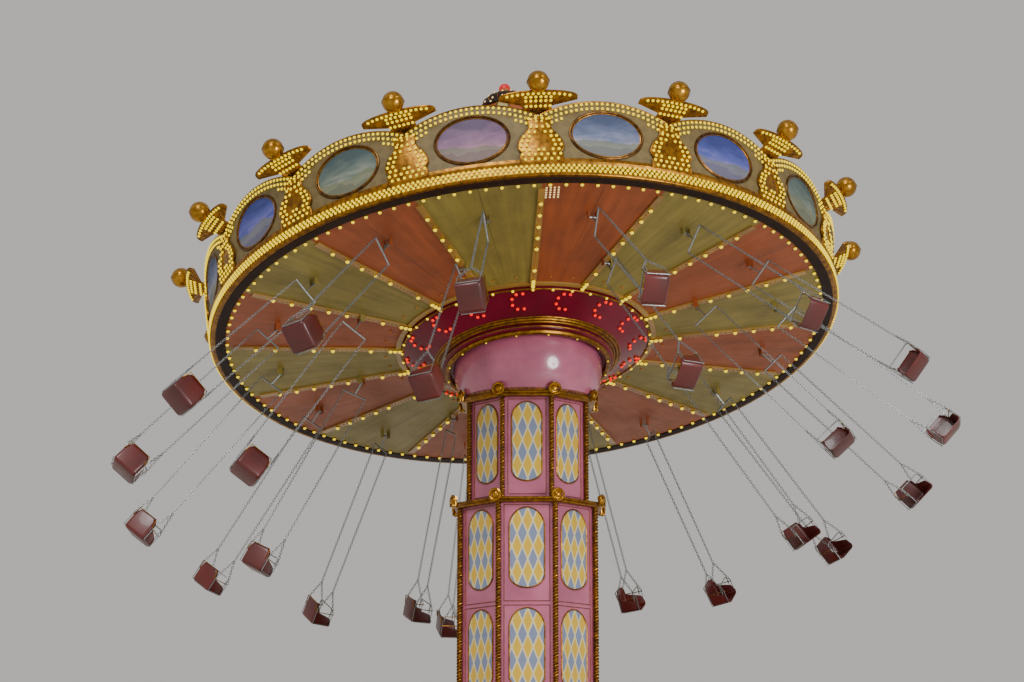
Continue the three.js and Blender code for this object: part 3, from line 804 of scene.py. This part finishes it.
class CarouselCeiling(bpy.types.Operator):
    """Paint the ceiling and hang its lamps"""
    bl_idname = "carousel.ceiling"
    bl_label = "Ceiling"

    def execute(self, context):
        looks = context.scene.carousel_canopy
        dark = "#241208"
        panels = [(mix(colour, dark, 0.35), colour) for colour in (looks.brick, looks.olive)]
        repaint(ceiling_paint(*panels, dark), "ceiling")
        repaint(gloss_enamel("ochre_enamel_on_battens", "#8a6426", "#a77f35", (0.3, 0.45)), "ceiling_battens")
        repaint("steel", "slewing_hub", "tilt_head", "pivot_fork")

        # Radii of the lamps along a rib: five towards the edge, one alone and three by the drum
        large = [RIM * share for share in (
            0.9056, 0.8415, 0.7769, 0.7131, 0.6493, 0.5223, 0.4566, 0.441, 0.4255)]
        small, small_pitch = [], 0.084
        for far, near in zip(large, large[1:7]):
            gaps = round((far - near) / small_pitch)
            small += [far + (near - far) * i / gaps for i in range(1, gaps)]
        for name, radii, glass, share in (("rib_lamps", large, "yellow", 1.4),
                                          ("batten_glow_lamps", small, "amber", 0.45)):
            places = [spot(a, r, ceiling_height(r) - BATTEN_DEPTH, DOWN) for a in ribs() for r in radii]
            lamps(name, places, glass=glass, share=share)
        count = 128
        rim = [FIRST_RIB + (i + 0.5) * 360 / count for i in range(count)]
        lamps("rim_lamps", spots(rim, RIM, ceiling_height(RIM), DOWN), share=1.2)
        inner = 0.475 * RIM
        glow = [a for offset in (0.3, 0.7) for a in ribs(offset)]
        lamps("ceiling_glow_lamps", spots(glow, inner, ceiling_height(inner), DOWN), glass="amber", share=0.8)
        # Four rows of five white lamps stand close together beside the first rib
        radii = [RIM * (0.93 + 0.013 * i) for i in range(5)]
        flood = [spot(FIRST_RIB, radius, ceiling_height(radius), DOWN, across=0.075 + 0.065 * row)
                 for row in range(4) for radius in radii]
        lamps("rim_flood_lamps", flood, glass="white", share=0.7)
        return {"FINISHED"}


def lantern_outline():
    """Across and up, round the lantern-shaped ornament, as in the solid model."""
    right = ((0.066, -0.012), (0.066, 0.014), (0.058, 0.022), (0.065, 0.028), (0.069, 0.034), (0.070, 0.042),
             (0.069, 0.050), (0.065, 0.062), (0.058, 0.074), (0.049, 0.084), (0.042, 0.092), (0.036, 0.101),
             (0.034, 0.108), (0.034, 0.124), (0.036, 0.134), (0.040, 0.142))
    return mirrored([(across * RIM, up * RIM) for across, up in right])


class CarouselCornice(bpy.types.Operator):
    """Make the dark fascia, the gilded cornice and the lantern-shaped ornaments"""
    bl_idname = "carousel.cornice"
    bl_label = "Cornice"

    def execute(self, context):
        inner, outer, low, high = FASCIA.values()
        chamfer = 0.012
        band = turned([
            (inner, low), (outer - chamfer, low), (outer, low + chamfer), (outer, high), (inner, high)])
        settle(band, "fascia_band", "canopy", ["fascia"], ["fascia_beam"])

        face, inner, high = FOOT_RADIUS, FASCIA["outer"] + GAP, FOOT_HEIGHT
        moulding = turned([(inner, 0.0), *profile(
            face, 0.0, (-0.030, 0.0), (-0.014, 0.006), (-0.008, 0.020), (0.002, 0.026), (0.006, 0.040),
            (0.006, 0.176), (0.014, 0.186), (0.020, 0.204), (0.030, 0.214), (0.034, 0.226), (0.034, 0.262),
            (0.026, 0.270), (0.026, high)), (inner, high)])
        lantern_depth = 0.026
        lantern = softened(plate(lantern_outline(), lantern_depth), 0.004)
        rim = bead([(0.028, across, up) for across, up in lantern_outline()], 0.010, cyclic=True)
        places = spots(ribs(), face + 0.002, high, math.degrees(BOARD_LEAN))
        whole = joined(moulding, array_of(joined(lantern, rim), places))
        settle(whole, "cornice_and_lanterns", "canopy", ["gilt"], ["cornice"])

        flat = face + 0.006
        count = round(math.tau * flat / context.scene.carousel_lamps.pitch)
        for i, height in enumerate((0.058, 0.108, 0.158)):
            angles = [FIRST_RIB + (j + i / 2) * 360 / count for j in range(count)]
            lamps(f"cornice_lamps_{i + 1}", spots(angles, flat, height, OUT))
        # Height of each row and how far its lamps are off the middle: a gap is left round the bare plate
        rows = ((-0.002, (0.010, 0.030, 0.050)), (0.014, (0.0, 0.0193, 0.0387, 0.058)),
                (0.030, (0.008, 0.036, 0.054)), (0.045, (0.044, 0.062)), (0.060, (0.040, 0.057)),
                (0.075, (0.033, 0.050)), (0.090, (0.016, 0.034)), (0.108, (0.009, 0.027)),
                (0.136, (0.010, 0.031)))
        outwards = Matrix.Rotation(math.pi / 2, 4, "Y")
        marks = [Matrix.Translation((lantern_depth, across, up * RIM)) for up, offsets in rows
                 for across in sorted({side * offset * RIM for offset in offsets for side in (-1, 1)})]
        lamps("lantern_lamps", [place @ mark @ outwards for mark in marks for place in places])
        return {"FINISHED"}


def arch_line(inset, half, steps):
    """Across and up, along the arched top of a board, this far inside its edge."""
    rise = TOP_HEIGHT - JUNCTION
    radius = (BOARD_HALF ** 2 + rise ** 2) / (2 * rise)
    limit = math.asin(half / (radius - inset))
    turns = [limit * (1 - 2 * i / steps) for i in range(steps + 1)]
    inner, centre = radius - inset, TOP_HEIGHT - radius
    return [(inner * math.sin(t), centre + inner * math.cos(t)) for t in turns]


def walked(line, pitch):
    """Points of a finely divided line, each a pitch or a little more on from the last."""
    marks, distance = [line[0]], 0.0
    for last, point in zip(line, line[1:]):
        distance += math.dist(point, last)
        if distance >= pitch:
            marks.append(point)
            distance = 0.0
    return marks


class CarouselBoards(bpy.types.Operator):
    """Make the arched picture boards, their frames and their lamps"""
    bl_idname = "carousel.boards"
    bl_label = "Picture boards"

    def execute(self, context):
        looks = context.scene.carousel_canopy
        # Low, middle and high in the sky of four kinds of picture
        skies = (("#8c8896", "#5d6684", "#333f5c"), ("#7a70a8", "#474e94", "#25306e"),
                 ("#88887a", "#5a675f", "#36484a"), ("#9a7080", "#765673", "#4c3b56"))
        finish = picture_paint(looks.ground, mix(looks.ground, "#4c3f1d", 0.3), skies, ("#5f6444", "#3d4527"))
        side, foot, arch_steps = BOARD_HALF - 0.012, FOOT_HEIGHT + GAP, 28
        outline = [(side, foot), *arch_line(0.0, side, arch_steps), (-side, foot)]
        board = softened(plate(outline, BOARD_THICKNESS), 0.005, 1)
        curled(board, FOOT_RADIUS - BOARD_THICKNESS, 24)
        painted(board, finish, painted_steel("brown_paint_on_board_backs", "#4a3524", "#5a422c"))
        for face in board.data.polygons:
            face.material_index = 1 if face.normal.x < -0.5 else 0
        places = spots(ribs(0.5), 0, 0)
        settle(array_of(board, places), "board_panels", "canopy", [], ["picture_boards"])

        top = bead([(0.0, x, z) for x, z in arch_line(0.012, side - 0.01, arch_steps)], 0.014)
        centre, wide, tall = PICTURE.values()
        proud = 0.004
        ring = bead([(proud, *point) for point in oval(wide, tall, 56, centre)], 0.020, True, 2)
        inner = bead([(proud, *point) for point in oval(0.945 * wide, 0.92 * tall, 56, centre)], 0.009, True)
        frames = joined(painted(top, "gilt"), painted(ring, "bronze"), painted(inner, "gilt"))
        settle(array_of(curled(frames, FOOT_RADIUS), places), "board_frames", "canopy", [])

        pitch = context.scene.carousel_lamps.pitch
        lean = OUT + math.degrees(BOARD_LEAN)
        places = []
        # How far each row runs inside the edge, and how near to the middle its lamps come
        for inset, nearest in ((0.055, 0.0), (0.138, 0.0), (0.221, 0.72)):
            for across, up in walked(arch_line(inset, BOARD_HALF - 0.045, 400), pitch):
                if abs(across) >= nearest:
                    radius = FOOT_RADIUS + (up - FOOT_HEIGHT) * math.tan(BOARD_LEAN)
                    turn = math.degrees(across / BOARD_RADIUS)
                    places += spots([a + turn for a in ribs(0.5)], radius, up, lean)
        lamps("board_lamps", places)
        return {"FINISHED"}


class CarouselCrests(bpy.types.Operator):
    """Make the fans and gilded balls over the boards' junctions"""
    bl_idname = "carousel.crests"
    bl_label = "Crests"

    def execute(self, context):
        # A fan is drawn across and outwards from its root, with its underside on height 0
        root, start, shoulder = 0.040 * RIM, 0.052 * RIM, 0.084 * RIM
        tip = oval(CREST_HALF, CREST_LENGTH - shoulder, 28, shoulder)[:15]
        right = [(root, 0), (root, start), (CREST_HALF, shoulder - 0.012 * RIM)]
        outline = [*right, *tip, *mirrored(right)[3:]]
        fan = softened(plate(outline, CREST_THICKNESS), 0.006)
        # Drawn upright: laid down so that up runs outwards and the thickness points up
        fan.data.transform(Matrix(((0, 0, 1, 0), (0, 1, 0, 0), (1, 0, 0, 0), (0, 0, 0, 1))))
        fan.data.flip_normals()
        edge = bead([(out, across, 0.012) for across, out in outline], 0.017, cyclic=True)
        fan_ribs = [bead([(0.02, 0.2 * across, -0.002), (start, 0.3 * across, -0.002),
                          (0.94 * out, 0.94 * across, -0.002)], 0.008) for across, out in tip[1:-1:2]]
        fans = spots(ribs(), *CREST_ROOT, -CREST_SLOPE)
        settle(array_of(joined(fan, edge, *fan_ribs), fans), "crest_fans", "canopy", ["gilt"],
               ["crests"])

        ball = sphere(28, 16, BALL_RADIUS)
        girth = 1.01 * BALL_RADIUS
        collar = bead([(x, y, 0) for x, y in oval(girth, girth, 28)], 0.008, cyclic=True)
        balls = array_of(joined(ball, collar), spots(ribs(), *BALL_AT))
        settle(balls, "crest_balls", "canopy", ["brass"], ["crests"], angle=60)

        inner, outer, height = 1.030 * RIM, 1.040 * RIM, CREST_ROOT[1]
        rail = turned([(inner, height - 0.010), (outer, height - 0.010), (outer, height + 0.050),
                       (inner, height + 0.050)])
        post = block((inner + 0.005, -0.04, FASCIA["high"] + GAP), (outer - 0.005, 0.04, height))
        posts = array_of(softened(post, 0.006), spots(ribs(), 0, 0))
        settle(joined(rail, posts), "crest_rail", "canopy", ["fascia"], ["crests"])

        pitch = context.scene.carousel_lamps.pitch
        marks = []
        # Two rows follow the fan's tip, a little inside it, and two run straight across
        for half, back in ((0.50, 0.035), (0.20, 0.100)):
            for x in spread(half, pitch):
                drop = (CREST_LENGTH - shoulder) * (1 - math.sqrt(1 - (x / CREST_HALF) ** 2))
                marks.append((CREST_LENGTH - back - drop, x))
        for share, half in ((0.68, 0.20), (0.50, 0.19)):
            marks += [(share * CREST_LENGTH, x) for x in spread(half, pitch)]
        white = [(0.16 * CREST_LENGTH, x) for x in (-0.10, 0.0, 0.10)]
        under = Matrix.Rotation(math.pi, 4, "X")
        for name, row, glass, share in (("crest_lamps", marks, "yellow", 1.0),
                                        ("crest_white_lamps", white, "white", 0.6)):
            places = [fan @ Matrix.Translation((out, x, 0)) @ under for fan in fans for out, x in row]
            lamps(name, places, glass=glass, share=share)
        return {"FINISHED"}


class CarouselRoof(bpy.types.Operator):
    """Make the gored roof, its ribs, the crown and the beacon"""
    bl_idname = "carousel.roof"
    bl_label = "Roof"

    def execute(self, context):
        looks = context.scene.carousel_canopy
        finish = roof_paint(mix(looks.brick, "#241208", 0.1), mix(looks.olive, "#cdbf8c", 0.45))
        inside = [(r - 0.020, h) for r, h in reversed(ROOF_PROFILE)]
        roof = turned([*ROOF_PROFILE, *inside], 64, FIRST_RIB)
        settle(roof, "roof_gores", "canopy", [finish], ["roof"], angle=25)
        rib = bead([(r + 0.004, 0, h + 0.004) for r, h in ROOF_PROFILE], 0.022)
        settle(array_of(rib, spots(ribs(), 0, 0)), "roof_ribs", "canopy", ["gilt"])

        radius, base = ROOF_PROFILE[-1]
        low = base + GAP
        crown = turned([(0, low), *profile(
            radius, low, (0.040, 0), (0.040, 0.050), (0.030, 0.062), (-0.020, 0.085), (-0.036, 0.100),
            (-0.060, 0.190), (-0.100, 0.262), (-0.170, 0.320), (-0.250, 0.368), (-0.330, 0.400)),
            (0, low + CROWN_HEIGHT)], 64, FIRST_RIB)
        settle(crown, "crown_cap", "canopy", ["fascia"], ["crown"])
        leaf = bead([(r, 0, z) for r, z in profile(
            radius, low, (-0.056, 0.11), (-0.056, 0.190), (-0.098, 0.264), (-0.168, 0.323),
            (-0.248, 0.371))], 0.010)
        settle(array_of(leaf, spots(ribs(), 0, 0)), "crown_ribs", "canopy", ["gilt"])
        places = [spot(a, radius + out, low + up, lean) for a in ribs(0.5)
                  for out, up, lean in ((0.040, 0.026, OUT), (-0.048, 0.145, 76), (-0.140, 0.294, 40))]
        lamps("crown_lamps", places, glass="white", share=0.7)

        low = base + CROWN_HEIGHT + 2 * GAP
        beacon = turned(profile(
            0, low, (0, 0), (0.062, 0), (0.062, 0.020), (0.072, 0.050), (0.100, 0.105), (0.106, 0.125),
            (0.108, 0.150), (0.100, 0.185), (0.080, 0.218), (0.050, 0.237), (0, 0.243)), 32)
        for face in beacon.data.polygons:
            local = CANOPY.inverted() @ face.center
            face.material_index = 1 if local.z < low + 0.106 else 0
        settle(beacon, "beacon_lens", "canopy", ["beacon", "amber"], ["beacon"])
        return {"FINISHED"}


class CarouselDrum(bpy.types.Operator):
    """Make the drum under the ceiling, its lamps and the bowl below it"""
    bl_idname = "carousel.drum"
    bl_label = "Drum and bowl"

    def execute(self, context):
        looks = context.scene.carousel_canopy
        maroon = gloss_enamel("maroon_gloss_enamel", looks.maroon, "#701029", (0.12, 0.26), 0.05, 0.2)
        drum = turned([
            (LIP_INNER, LIP_LOW), (1.476, LIP_LOW), (1.494, -0.636), (1.502, -0.620), (1.502, -0.592),
            (1.494, -0.574), CONE_FOOT, CONE_TOP, (2.168, 0.140), (2.143, 0.140), (2.143, -0.222),
            (1.452, -0.5198), (LIP_INNER, -0.5848)])
        settle(drum, "drum_shell", "canopy", [maroon], ["hub_drum"])

        def on_cone(share, out=0.0):
            """Radius and height, this far down the cone and this far off its face."""
            return tuple(a + (b - a) * share + out * n for a, b, n in zip(CONE_TOP, CONE_FOOT, CONE_NORMAL))

        lip = (1.405, LIP_LOW - 0.025)
        rings = [hoop(*on_cone(share, 0.004), size) for share, size in (
            (0.012, 0.016), (0.80, 0.016), (0.865, 0.028), (0.94, 0.020))]
        rings += [hoop(1.494, -0.606, 0.016), hoop(*lip, 0.050)]
        settle(joined(*rings), "drum_mouldings", "canopy", ["gilt"])

        lean = DOWN - math.degrees(math.atan2(CONE_NORMAL[0], -CONE_NORMAL[1]))
        top = [FIRST_RIB + 9 * i for i in range(40)]
        lamps("drum_top_lamps", spots(top, *on_cone(0.012, 0.016), lean))
        # Six red lamps along most of an oval make a crescent, a third of the way down the cone
        slant, wide, tall = math.dist(CONE_TOP, CONE_FOOT), 0.15, 0.17
        crescents = []
        for turn in (math.radians(70 + 44 * i) for i in range(6)):
            place = on_cone(0.33 - tall * math.sin(turn) / slant)
            crescents += spots(ribs(0.73), *place, lean, across=wide * math.cos(turn))
        lamps("drum_crescent_lamps", crescents, glass="red", share=1.2)
        lamps("drum_lip_lamps", spots(ribs(0.5), lip[0], lip[1] - 0.046, DOWN), share=0.6)

        def sphere_line(radius, start, end, steps):
            """Radii and heights along a sphere about the pivot."""
            heights = [start + (end - start) * i / steps for i in range(steps + 1)]
            return [(math.sqrt(radius ** 2 - z ** 2), PIVOT_HEIGHT + z) for z in heights]

        low, rim, floor = BOWL_BOTTOM - PIVOT_HEIGHT, 0.40, 0.04
        bowl = turned([
            *sphere_line(BOWL_RADIUS, low, rim, 24), *sphere_line(BOWL_RADIUS - 0.025, rim, low + floor, 12),
            (0, BOWL_BOTTOM + floor), (0, BOWL_BOTTOM)], 128, base=TOWER)
        settle(bowl, "bowl_shell", "tower_upper", ["pink"], ["tilt_bowl"], angle=50)
        hoops = [hoop(radius, BOWL_BOTTOM + up, size, 128, TOWER)
                 for radius, up, size in ((1.152, 0.013, 0.013), (1.166, 0.036, 0.008))]
        settle(joined(*hoops), "bowl_hoops", "tower_upper", ["gilt"])
        return {"FINISHED"}


def rope(height, radius, pitch):
    """A column like a rope of three strands, standing on height 0."""
    clear()
    bpy.ops.mesh.primitive_circle_add(vertices=12, radius=radius)
    piece = bpy.context.object
    hollows = {tuple(corner.co) for i, corner in enumerate(piece.data.vertices) if i % 4 in (0, 3)}
    chosen(piece, "VERT", lambda *place: place in hollows)
    bpy.ops.transform.resize(value=(0.64, 0.64, 1.0), center_override=(0, 0, 0))
    steps = round(10 * height / pitch)
    modified(piece, "SCREW", angle=math.tau * height / pitch, screw_offset=height,
             steps=steps, render_steps=steps, use_merge_vertices=False)
    # The faces in the grooves between the strands take the dark bronze: painted shade in the rope's hollows
    painted(sealed(), "gilt", "bronze")
    for face in piece.data.polygons:
        face.material_index = 1 if face.center.xy.length < 0.72 * radius else 0
    return piece


def corner_ornament():
    """A carved boss for a ledge's corner: an oval rosette in front, scrolls on either flank."""
    middle = 0.026
    parts = [bead([(0.050, *point) for point in oval(0.098, 0.092, 24, middle)], 0.021, True, 2)]
    boss = sphere(16, 8, 0.062)
    boss.data.transform(Matrix.Translation((0.045, 0, middle)) @ Matrix.Diagonal((0.5, 1, 1, 1)))
    parts += [boss, softened(block((-0.015, -0.070, -0.075), (0.046, 0.070, 0.100)), 0.014)]
    flanks = [Matrix.Translation((0, y, 0)) for y in (-0.072, 0.072)]
    for centre, up, size, side in ((0.024, 0.072, 0.030, -1), (0.046, -0.040, 0.022, 1)):
        spiral = [(centre + side * size, 0, up - 0.03)]
        for i in range(22):
            reach, turn = size * (1 - 0.04 * i), math.radians(30 * i)
            spiral.append((centre + side * reach * math.cos(turn), 0, up + reach * math.sin(turn)))
        parts.append(array_of(bead(spiral, 0.010), flanks))
    return joined(*parts)


class CarouselTower(bpy.types.Operator):
    """Dress the three stages of the tower with panels, rope columns and ledges"""
    bl_idname = "carousel.tower"
    bl_label = "Tower"

    def execute(self, context):
        looks = context.scene.carousel_tower
        repaint("pink", *(f"{name}_tower_wall" for name in STAGES))
        harlequin = harlequin_paint("#cba428", "#747e99", "#cfc495")
        corners = [FIRST_CORNER + 45 * k for k in range(8)]
        faces = [angle + 22.5 for angle in corners]
        for name, stage in STAGES.items():
            inner, outer, column, ledge, guide, foot, bottom, shown, top, bays = stage
            body = f"tower_{name}"
            face_width = 2 * outer * math.sin(math.pi / 8)
            half = looks.panel_share * face_width / 2
            side = face_width / 2 - 0.075
            bay = (top - LEDGE_HEIGHT - shown) / bays
            panels, trims, mouldings = [], [], []
            for low in (shown + i * bay for i in range(bays)):
                shoulder, sill = low + bay - 0.08 - half * 1.15, low + 0.26 + half * 0.75
                points = oval(half, half * 1.15, 36, shoulder)[:19] + oval(half, half * 0.75, 36, sill)[19:]
                panels.append(laid_flat(plate(points, 0.008), max(up for _, up in points)))
                trims.append(bead([(0.008, *point) for point in points], 0.014, cyclic=True))
                start, end = low + 0.035, low + bay - 0.035
                mouldings.append(bead([(0.002, side, start), (0.002, side, end), (0.002, -side, end),
                                       (0.002, -side, start)], 0.009, cyclic=True))
            places = spots(faces, outer * math.cos(math.pi / 8), 0, base=TOWER)
            settle(array_of(joined(*panels), places), f"{name}_harlequin_panels", body, [harlequin])
            settle(array_of(joined(*trims, *mouldings), places), f"{name}_panel_frames", body, ["gilt"])

            height = top - LEDGE_HEIGHT / 2 - foot - 0.01
            ropes = array_of(rope(height, column, looks.rope_pitch),
                             spots(corners, outer + column + 0.003, foot + 0.01, base=TOWER))
            cap = turned([(inner, top - LEDGE_HEIGHT), *profile(
                ledge, top, (-0.060, -LEDGE_HEIGHT), (-0.045, -0.078), (-0.040, -0.062), (-0.018, -0.056),
                (0, -0.040), (0, -0.014), (-0.010, -0.004), (-0.022, 0)), (inner, top)],
                8, FIRST_CORNER, TOWER)
            wall, end = outer + GAP, bottom + LEDGE_HEIGHT
            sole = turned([(wall, foot), (guide, foot), (guide, end), (wall, end)], 8, FIRST_CORNER, TOWER)
            whole = joined(ropes, painted(cap, "gilt"), painted(sole, "gilt"))
            settle(whole, f"{name}_ropes_and_ledge", body, [], [f"{name}_tower_columns"])
            bosses = array_of(corner_ornament(), spots(corners, ledge - 0.030, top, base=TOWER))
            settle(bosses, f"{name}_corner_ornaments", body, ["brass"])
        return {"FINISHED"}


class CarouselBase(bpy.types.Operator):
    """Dress the deck, its skirt, the plinth and the steps"""
    bl_idname = "carousel.base"
    bl_label = "Base"

    def execute(self, context):
        looks = context.scene.carousel_base
        repaint("steel", "base_frame")
        repaint(plank_paint(mix(looks.wood, "#2c2016", 0.4), looks.wood), "deck")
        repaint(tread_plate(), *(f"step_flight_{i}" for i in range(1, 5)))
        maroon = gloss_enamel("maroon_enamel_on_steel_skirt", looks.skirt, "#4c0d1a", (0.25, 0.4))
        repaint(maroon, "deck_skirt")

        # The skirt has 48 flats, and those behind the four step flights stay bare
        flats = [3.75 + 7.5 * i for i in range(48)]
        flats = [angle for angle in flats if abs((angle + 45) % 90 - 45) >= 15]
        apothem = DECK_RADIUS * math.cos(math.radians(3.75))
        panel = softened(plate([(-0.30, 0.12), (0.30, 0.12), (0.30, 0.72), (-0.30, 0.72)], 0.012), 0.005)
        edge = bead([(0.012, -0.27, 0.15), (0.012, 0.27, 0.15), (0.012, 0.27, 0.69), (0.012, -0.27, 0.69)],
                    0.007, cyclic=True)
        ochre = gloss_enamel("ochre_enamel_on_skirt_panels", "#9c7a35", "#856228", (0.25, 0.4))
        pair = joined(painted(panel, ochre), painted(edge, "gilt"))
        places = spots(flats, apothem, 0, base=TOWER)
        settle(array_of(pair, places), "skirt_panels", "base", [])
        nosing = turned(profile(
            DECK_RADIUS, DECK_TOP, (-0.032, 0), (-0.032, 0.006), (-0.004, 0.006), (0.004, -0.002),
            (0.004, -0.054), (0, -0.054), (0, 0)), 48, base=TOWER)
        settle(nosing, "deck_nosing", "base", ["zinc"])
        lamps("skirt_lamps", spots(flats, apothem, 0.785, OUT, TOWER), "base")

        low, wall = DECK_TOP + GAP, 1.900
        plinth = turned(profile(
            0, low, (1.560, 0), (1.960, 0), (1.960, 0.080), (1.945, 0.100), (1.915, 0.108), (wall, 0.130),
            (wall, 0.470), (1.915, 0.484), (1.955, 0.498), (1.970, 0.512), (1.970, 0.552), (1.962, 0.560),
            (1.560, 0.560)), 96, base=TOWER)
        settle(plinth, "plinth_ring", "base", ["pink"], ["tower_plinth"])
        angles = [15 * i + 7.5 for i in range(24)]
        turns = [math.radians(i) for i in range(-6, 7, 2)]
        loop = bead([(wall * math.cos(t), wall * math.sin(t), z)
                     for z, way in ((low + 0.18, turns), (low + 0.42, turns[::-1])) for t in way],
                    0.010, cyclic=True)
        settle(array_of(loop, spots(angles, 0, 0, base=TOWER)), "plinth_frames", "base", ["gilt"])
        lamps("plinth_lamps", spots([a + 7.5 for a in angles], wall, low + 0.30, OUT, TOWER), "base")

        strip = softened(block((-0.050, -0.88, 0.0), (0.0, 0.88, 0.006)), 0.002, 1)
        edges = [spot(90 * side, DECK_RADIUS + 0.3 * (5 - i), 0.18 * i, base=TOWER)
                 for side in range(4) for i in range(1, 5)]
        settle(array_of(strip, edges), "step_nosings", "base", ["brass"])
        return {"FINISHED"}


def link(pitch):
    """One chain link of 11 mm wire, upright along Z and flat across Y."""
    wire, width = 0.0055, 0.016
    straight = (pitch + 2 * wire) / 2 - width
    half = oval(width, width, 6, straight)[:4]
    points = half + [(-y, -z) for y, z in half]
    return bead([(0, y, z) for y, z in points], wire, cyclic=True, resolution=0)


def chain(start, end, pitch):
    """Places of the links of a chain between two points, each a quarter turn on from the last."""
    start, span = Vector(start), Vector(end) - Vector(start)
    count = max(1, round(span.length / pitch))
    along = span.to_track_quat("Z", "Y").to_matrix().to_4x4()
    return [Matrix.Translation(start + span * ((i + 0.5) / count)) @ along
            @ Matrix.Rotation(math.pi / 2 * (i % 2) + math.pi / 4, 4, "Z") for i in range(count)]


def bucket():
    """The moulded seat: a rounded tub with a raised back, open at the front and top."""
    low, arm, back, front, half = -3.83, -3.57, -0.19, 0.21, 0.235
    shell = block((back, -half, low), (front, half, arm))
    for test in (lambda x, y, z: z > arm - 0.001, lambda x, y, z: x > front - 0.001):
        chosen(shell, "FACE", test)
        bpy.ops.mesh.delete(type="FACE")
    chosen(shell, "EDGE", lambda x, y, z: x < back + 0.001 or z < low + 0.001)
    bpy.ops.mesh.bevel(offset=0.065, segments=4, affect="EDGES")
    chosen(shell, "EDGE", lambda x, y, z: z > arm - 0.001 and x < back + 0.066)
    for rise, narrowed in ((0.09, (0.94, 0.94, 1)), (0.075, (0.7, 0.78, 1))):
        bpy.ops.mesh.extrude_edges_move(TRANSFORM_OT_translate={"value": (0, 0, rise)})
        bpy.ops.transform.resize(value=narrowed, center_override=(back, 0, 0))
    chosen(shell, "VERT", lambda x, y, z: x > front - 0.001 and z > arm - 0.001)
    bpy.ops.transform.translate(value=(-0.05, 0, -0.075))
    modified(shell, "SOLIDIFY", thickness=0.016, offset=-1.0)
    modified(shell, "BEVEL", width=0.005, segments=2)
    return sealed()


class CarouselChairs(bpy.types.Operator):
    """Make the chairs with their chains, and hang one from every hinge"""
    bl_idname = "carousel.chairs"
    bl_label = "Chairs"

    def execute(self, context):
        looks = context.scene.carousel_chairs
        # Drawn hanging straight down from its hinge, facing +X
        apex, pitch, bar = -3.12, looks.link, CHAIN_HALF + 0.004
        places = []
        for y in (CHAIN_HALF, -CHAIN_HALF):
            places += chain((0, y, SPREADER - 0.02), (0, y, apex), pitch)
            for x, z in ((0.185, -3.56), (-0.165, -3.47)):
                places += chain((0, y, apex), (x, y, z), pitch)
        lap_bar = mirrored([(-0.24, -3.62), (-0.24, -3.48), (-0.20, -3.455)])
        rails = [bead([(-0.17, y, -3.47), (-0.17, y, -3.80), (0.18, y, -3.80), (0.18, y, -3.56)], 0.008)
                 for y in (0.245, -0.245)]
        metal = joined(
            array_of(link(pitch), places),
            bead([(-HINGE_HALF, 0, 0), (HINGE_HALF, 0, 0)], 0.021, resolution=2),
            bead([(0, 0, 0), (0, 0, SPREADER)], 0.015),
            bead([(0, -bar, SPREADER), (0, bar, SPREADER)], 0.016, resolution=2),
            bead([(0.13, *point) for point in lap_bar], 0.011), *rails)
        shell = gloss_enamel("dark_red_gelcoat_on_glass_fibre", looks.shell, "#420e0d", (0.32, 0.5), 0.15)
        rim = [(0.20, 0.227, -3.568), (-0.17, 0.227, -3.568), (-0.185, 0.215, -3.54), (-0.204, 0.195, -3.41)]
        seat = painted(bucket(), shell)
        trim = bead([*rim, *((x, -y, z) for x, y, z in reversed(rim))], 0.009)
        chair = joined(painted(metal, "zinc"), seat, painted(trim, "gilt"))
        up = Vector(JOINTS["canopy_spin"]["axis"])
        for joint in JOINTS.values():
            body = joint["child"]
            if "_chair_" not in body:
                continue
            along = Vector(joint["axis"])
            axes = Matrix((along, up.cross(along), up)).transposed().to_4x4()
            swing = Matrix.Rotation(math.radians(-joint["range_deg"][0]), 4, "X")
            piece = chair.copy()
            piece.data = chair.data.copy()
            context.scene.collection.objects.link(piece)
            piece.data.transform(Matrix.Translation(joint["pos_m"]) @ axes @ swing)
            settle(piece, f"{body}_seat", body, [], [body])
        bpy.data.objects.remove(chair)
        return {"FINISHED"}


class CarouselPanel(bpy.types.Panel):
    """Sizes, colours and building steps of the carousel"""
    bl_idname = "CAROUSEL_PT_panel"
    bl_label = "Chair-Swing Carousel"
    bl_space_type = "VIEW_3D"
    bl_region_type = "UI"
    bl_category = "Carousel"

    def draw(self, context):
        for group in SETTINGS:
            settings = getattr(context.scene, group)
            box = self.layout.box()
            for field in settings.__annotations__:
                box.prop(settings, field)
        for step in STEPS:
            self.layout.operator(step.bl_idname)


SETTINGS = {
    "carousel_lamps": CarouselLampSettings,
    "carousel_canopy": CarouselCanopySettings,
    "carousel_tower": CarouselTowerSettings,
    "carousel_chairs": CarouselChairSettings,
    "carousel_base": CarouselBaseSettings,
    "carousel_stage": CarouselStageSettings,
}
STEPS = (CarouselStage, CarouselCeiling, CarouselCornice, CarouselBoards, CarouselCrests, CarouselRoof,
         CarouselDrum, CarouselTower, CarouselBase, CarouselChairs)


def register():
    for kind in (*SETTINGS.values(), *STEPS, CarouselPanel):
        bpy.utils.register_class(kind)
    for name, kind in SETTINGS.items():
        setattr(bpy.types.Scene, name, bpy.props.PointerProperty(type=kind))


def unregister():
    for name in SETTINGS:
        delattr(bpy.types.Scene, name)
    for kind in reversed((*SETTINGS.values(), *STEPS, CarouselPanel)):
        bpy.utils.unregister_class(kind)


def main():
    register()
    mix_finishes(bpy.context.scene)
    for step in STEPS:
        section, name = step.bl_idname.split(".")
        getattr(getattr(bpy.ops, section), name)()


if __name__ == "__main__":
    main()
